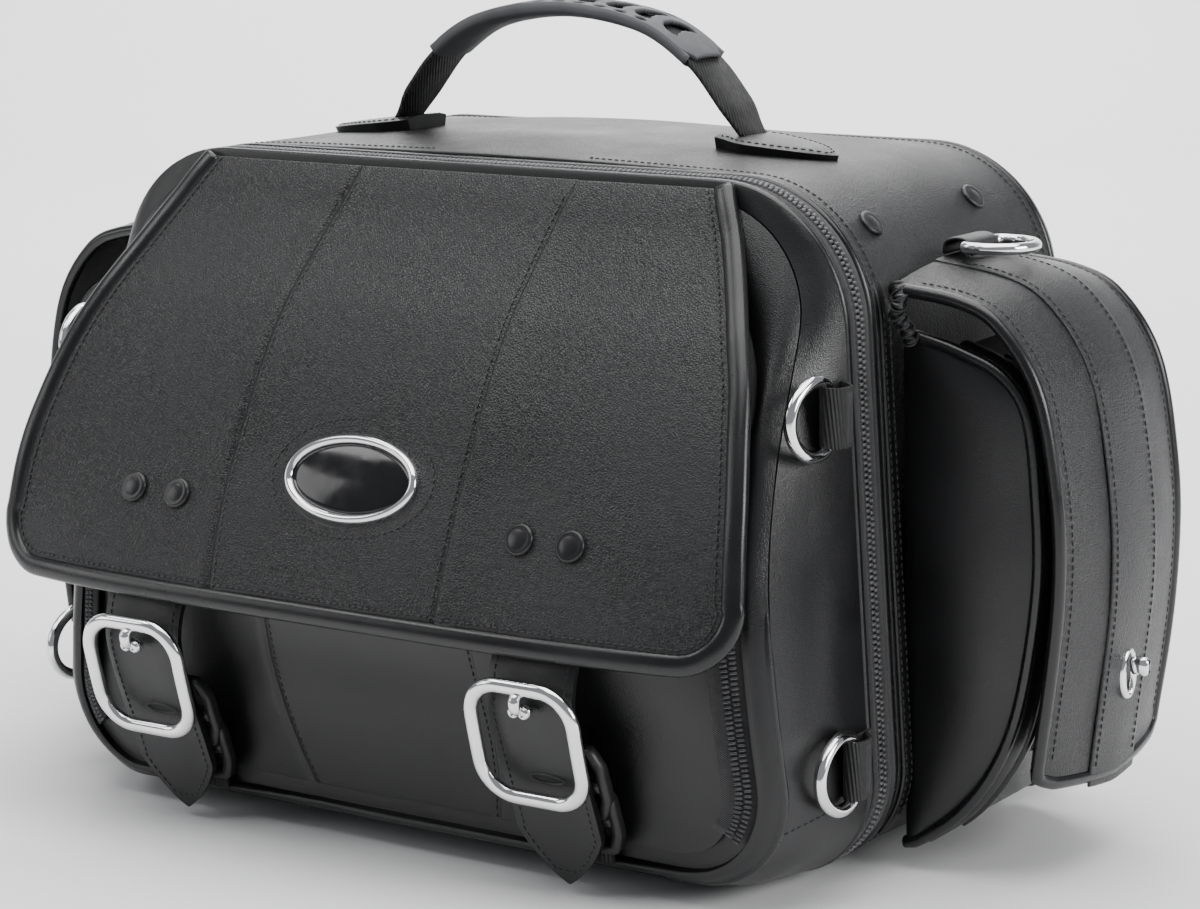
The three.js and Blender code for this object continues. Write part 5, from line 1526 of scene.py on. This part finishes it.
def build_grip():
    """Rubber grip moulded around the webbing, pierced along its top."""
    (_, y0, _), (x1, y1, _) = box_mm("handle_grip")
    long_path, long_up = handle_path(400)
    inside = np.abs(long_path[:, 0]) < x1 - 1.5
    stack = resample(np.hstack([long_path[inside], long_up[inside]]), 180)
    path, up = stack[:, :3], unit(stack[:, 3:])
    side = unit(np.cross(unit(np.gradient(path, axis=0)), up))
    half = (y1 - y0) / 2 - 0.3
    rows, across = len(path), 60
    thickness = 2.3

    def point(i, v, raised):
        end = 1 - smooth(abs(2 * i / (rows - 1) - 1), 0.9, 1.0) * 0.35
        arch_height = 2.2 * (1 - 0.5 * v * v)
        height = arch_height + (thickness if raised else 0)
        return path[i] + side[i] * (v * half * end) + up[i] * height
    top = [[point(i, v, True) for v in np.linspace(-1, 1, across)] for i in range(rows)]
    low = [[point(i, v, False) for v in np.linspace(-1, 1, across)] for i in range(rows)]
    verts = np.array(top + low).reshape(-1, 3)
    layer = rows * across
    solid = np.array([[not grip_open(2 * (i + 0.5) / (rows - 1) - 1, 2 * (j + 0.5) / (across - 1) - 1)
                       for j in range(across - 1)] for i in range(rows - 1)])
    faces = []
    for i in range(rows - 1):
        for j in range(across - 1):
            if not solid[i][j]:
                continue
            a, b, c, d = i * across + j, i * across + j + 1, (i + 1) * across + j + 1, (i + 1) * across + j
            faces += [(a, b, c, d), (layer + d, layer + c, layer + b, layer + a)]
            for di, dj, p, q in ((-1, 0, a, b), (0, 1, b, c), (1, 0, c, d), (0, -1, d, a)):
                ni, nj = i + di, j + dj
                if not (0 <= ni < rows - 1 and 0 <= nj < across - 1) or not solid[ni][nj]:
                    faces.append((q, p, layer + p, layer + q))
    grip = add_piece("grip_top", verts, faces, RUBBER, "handle", ("handle_grip",))
    if signed_volume(grip.data) < 0:
        grip.data.flip_normals()
    relax = grip.modifiers.new("round", "SMOOTH")
    relax.factor = 0.5
    relax.iterations = 2
    sweep("grip_under", path[2:-2], up[2:-2], under_profile(half), RUBBER, "handle")


def under_profile(half):
    """Section of the grip's underside: a shallow channel that holds the webbing."""
    outer = [(half * math.cos(a), -0.4 + 3.6 * math.sin(a)) for a in np.linspace(math.pi, 2 * math.pi, 12)]
    return [(-half, 3.1)] + outer + [(half, 3.1), (half - 1.8, 3.1), (half - 2.2, -1.2),
                                     (-half + 2.2, -1.2), (-half + 1.8, 3.1)]


def patch_half(t):
    """Half width of a leaf-shaped handle patch, t from 0 at the handle to 1 at its point."""
    point = max(0.0, 1 - max(0.0, (t - 0.18) / 0.82) ** 2.1) ** 0.72
    return 19.5 * point * float(0.74 + 0.26 * smooth(t, 0, 0.3)) + 0.5


def build_patch(name, side, shell):
    (x0, y0, _), (x1, y1, _) = box_mm(f"handle_patch_{name}")
    near, far = (x0, x1) if side > 0 else (x1, x0)
    middle = (y0 + y1) / 2
    rows = []
    for t in np.linspace(0, 1, 30):
        x = lerp(near, far, t)
        line = []
        for v in np.linspace(-1, 1, 17):
            y = middle + v * float(patch_half(t))
            pad = 1.4 * (1 - v ** 4) * min(1, (1 - t) * 5) + 2.6 * (1 - t)
            line.append((x, y, 400, pad))
        rows.append(line)
    rows = np.array(rows)
    flat = rows.reshape(-1, 4)
    tree = surface_of(shell)
    points = []
    for x, y, z, pad in flat:
        spot = tree.ray_cast(Vector((x, y, z)) * MM, Vector((0, 0, -1)))[0]
        points.append((x, y, spot.z / MM + 2.4 + pad))
    points = np.array(points).reshape(rows.shape[0], rows.shape[1], 3)
    patch = sheet(f"handle_patch_{name}_leather", points, 6.4, SMOOTH, "case",
                  inside=(side * 100, middle, 200), edge=1.1, stands_for=(f"handle_patch_{name}",))
    right = [(lerp(near, far, t), middle + float(patch_half(t)) - 3.2, 400)
             for t in np.linspace(0.04, 0.93, 40)]
    left = [(x, 2 * middle - y, z) for x, y, z in reversed(right)]
    outline = right + left + [right[0]]
    stitches(f"handle_patch_{name}_stitches", [seen_from(patch, outline, (0, 0, -1))], "case")


# ------------------------------------------------------------------ zip sliders and pulls

def build_slider(letter):
    body = f"main_slider_{letter}"
    (_, y0, z0), (x1, y1, z1) = box_mm(body)
    centre = np.array([x1, (y0 + y1) / 2, (z0 + z1) / 2])
    wide, tall = (y1 - y0) / 2, (z1 - z0) / 2
    nose = [(0, tall, 0), (wide * 0.7, tall * 0.75, 0), (wide, tall * 0.1, 0),
            (wide * 0.72, -tall * 0.85, 0), (0, -tall, 0)]
    nose += [(-x, y, z) for x, y, z in reversed(nose[1:-1])]
    line = spline(nose, 36, True)
    layers = []
    for scale, h in ((0.86, 0.2), (1, 0.9), (1, 2.6), (0.9, 3.4), (0.5, 3.7), (0.1, 3.7)):
        layers.append(line * (scale, scale, 0) + (0, 0, h))
    verts = np.vstack(layers)
    faces = grid_faces(6, 36, loop=True) + [tuple(reversed(range(36))), tuple(5 * 36 + k for k in range(36))]
    parts = [placed((verts, fix_winding(verts, faces)), centre - (2.2, 0, 0), (-1, 0, 0), (0, 1, 0))]
    bridge = [(0, -tall * 0.55, 3.2), (0, -tall * 0.5, 5.6), (0, 0, 6.4), (0, tall * 0.5, 5.6),
              (0, tall * 0.55, 3.2)]
    arc, _ = placed((spline(bridge, 18), []), centre - (0.6, 0, 0), (-1, 0, 0), (0, 1, 0))
    rows = sweep_rows(arc, (0, 1, 0), circle(1.1, 8))
    tube_faces = grid_faces(18, 8, loop=True) + [tuple(reversed(range(8))),
                                                 tuple(17 * 8 + k for k in range(8))]
    parts.append((rows.reshape(-1, 3), fix_winding(rows.reshape(-1, 3), tube_faces)))
    joined(f"{body}_body", parts, LACQUER, body, (body,), sharp=40)


def fix_winding(verts, faces):
    """A closed form's faces, all turned round if they look inwards."""
    total = 0.0
    for f in faces:
        for i in range(1, len(f) - 1):
            a, b, c = (np.asarray(verts[k], float) for k in (f[0], f[i], f[i + 1]))
            total += float(np.dot(a, np.cross(b, c)))
    return faces if total > 0 else [tuple(reversed(f)) for f in faces]


def build_pull(letter):
    """Leaf-shaped leather pull on a small wire loop."""
    body = f"main_pull_{letter}"
    (x0, y0, z0), (x1, y1, z1) = box_mm(body)
    x, y = (x0 + x1) / 2, (y0 + y1) / 2
    tall = z1 - z0 - 7
    rows = []
    for t in np.linspace(0, 1, 22):
        half = 5.7 * math.sin(math.pi * (0.14 + 0.82 * t)) ** 0.6 + 0.3
        puff = 0.5 * math.sin(math.pi * t)
        rows.append([(x - 1.2 - puff * (1 - v * v), y + v * half, z1 - 7 - t * tall)
                     for v in np.linspace(-1, 1, 11)])
    leaf = sheet(f"{body}_leather", np.array(rows), 2.4, SMOOTH, body, inside=(x + 20, y, (z0 + z1) / 2),
                 stands_for=(body,))
    loop = spline([(x, y - 2.4, z1 - 8), (x, y - 3.0, z1 - 4), (x, y, z1 - 1.3), (x, y + 3.0, z1 - 4),
                   (x, y + 2.4, z1 - 8)], 30)
    sweep(f"{body}_loop", loop, (1, 0, 0), circle(0.9, 8), LACQUER, body)
    edge = [(x - 60, y + v * 3.4 * math.sin(math.pi * (0.1 + 0.8 * t)) ** 0.6, z1 - 7 - t * tall)
            for v, ts in ((1, np.linspace(0.1, 0.9, 30)), (-1, np.linspace(0.9, 0.1, 30))) for t in ts]
    stitches(f"{body}_stitches", [seen_from(leaf, edge, (1, 0, 0))], body, pitch=2.6, length=1.8, radius=0.3)


# ------------------------------------------------------------------ studio

def studio_paper():
    look, tree, shader, place = node_material("studio_paper")
    mottle(tree, shader, place, 1.5, (0.84, 0.84, 0.845), (0.88, 0.88, 0.885))
    shader.inputs["Roughness"].default_value = 0.8
    return look


def build_studio():
    """A pale floor that curves up behind the bag, a dim sky and the lights."""
    mesh = bpy.data.meshes.new("studio_floor")
    profile = [(-6, 0), (1.6, 0), (2.2, 0.05), (2.7, 0.3), (3.0, 0.8), (3.1, 4.5)]
    turn = math.radians(34)
    verts = []
    for y, z in profile:
        for x in (-7, 7):
            across, along = x * math.cos(turn) - y * math.sin(turn), x * math.sin(turn) + y * math.cos(turn)
            verts.append((across, along, z))
    mesh.from_pydata(verts, [], [(2 * i, 2 * i + 1, 2 * i + 3, 2 * i + 2) for i in range(len(profile) - 1)])
    mesh.polygons.foreach_set("use_smooth", [True] * len(mesh.polygons))
    mesh.materials.append(studio_paper())
    floor = bpy.data.objects.new("studio_floor", mesh)
    floor.location.z = -0.0006
    bpy.context.scene.collection.objects.link(floor)
    world = bpy.data.worlds.new("studio_world")
    bpy.context.scene.world = world
    world.use_nodes = True
    back = world.node_tree.nodes["Background"]
    back.inputs["Color"].default_value = (0.93, 0.95, 1.0, 1)
    back.inputs["Strength"].default_value = 0.3
    for name, light in LIGHTS.items():
        add_area(name, *light)


def add_area(name, place, target, size, power):
    data = bpy.data.lights.new(name, "AREA")
    data.energy = power
    data.shape = "RECTANGLE"
    data.size = size
    data.size_y = size * 0.8
    light = bpy.data.objects.new(name, data)
    light.location = place
    light.rotation_euler = (Vector(target) - Vector(place)).to_track_quat("-Z", "Y").to_euler()
    bpy.context.scene.collection.objects.link(light)


def build_camera():
    data = bpy.data.cameras.new("photo_camera")
    data.sensor_width = 36
    data.lens = CAMERA["lens"]
    data.shift_x, data.shift_y = CAMERA["shift"]
    camera = bpy.data.objects.new("photo_camera", data)
    camera.location = CAMERA["place"]
    angles = (CAMERA["azimuth"], 90 - CAMERA["elevation"], CAMERA["roll"])
    swing, height, roll = (math.radians(a) for a in angles)
    turn = Matrix.Rotation(swing, 3, "Z") @ Matrix.Rotation(height, 3, "X")
    camera.rotation_euler = (turn @ Matrix.Rotation(roll, 3, "Z")).to_euler()
    bpy.context.scene.collection.objects.link(camera)
    bpy.context.scene.camera = camera


# ------------------------------------------------------------------ build everything

case_shell = build_case()
build_door()
build_pocket()
settle_door()
flap_skin = build_flap()
build_badge()
build_flap_rivets(flap_skin)
for side_name, sign in (("left", -1), ("right", 1)):
    strap_piece = build_strap(side_name, sign)
    build_buckle(side_name, sign, strap_piece)
    build_clip(side_name)
    for ring_level in ("upper", "lower"):
        build_ring_set(ring_level, side_name, sign)
    build_side_pocket(side_name, sign)
    build_side_flap(side_name, sign)
build_handle(case_shell)
for zip_end in ("a", "b"):
    build_slider(zip_end)
    build_pull(zip_end)
build_studio()
build_camera()
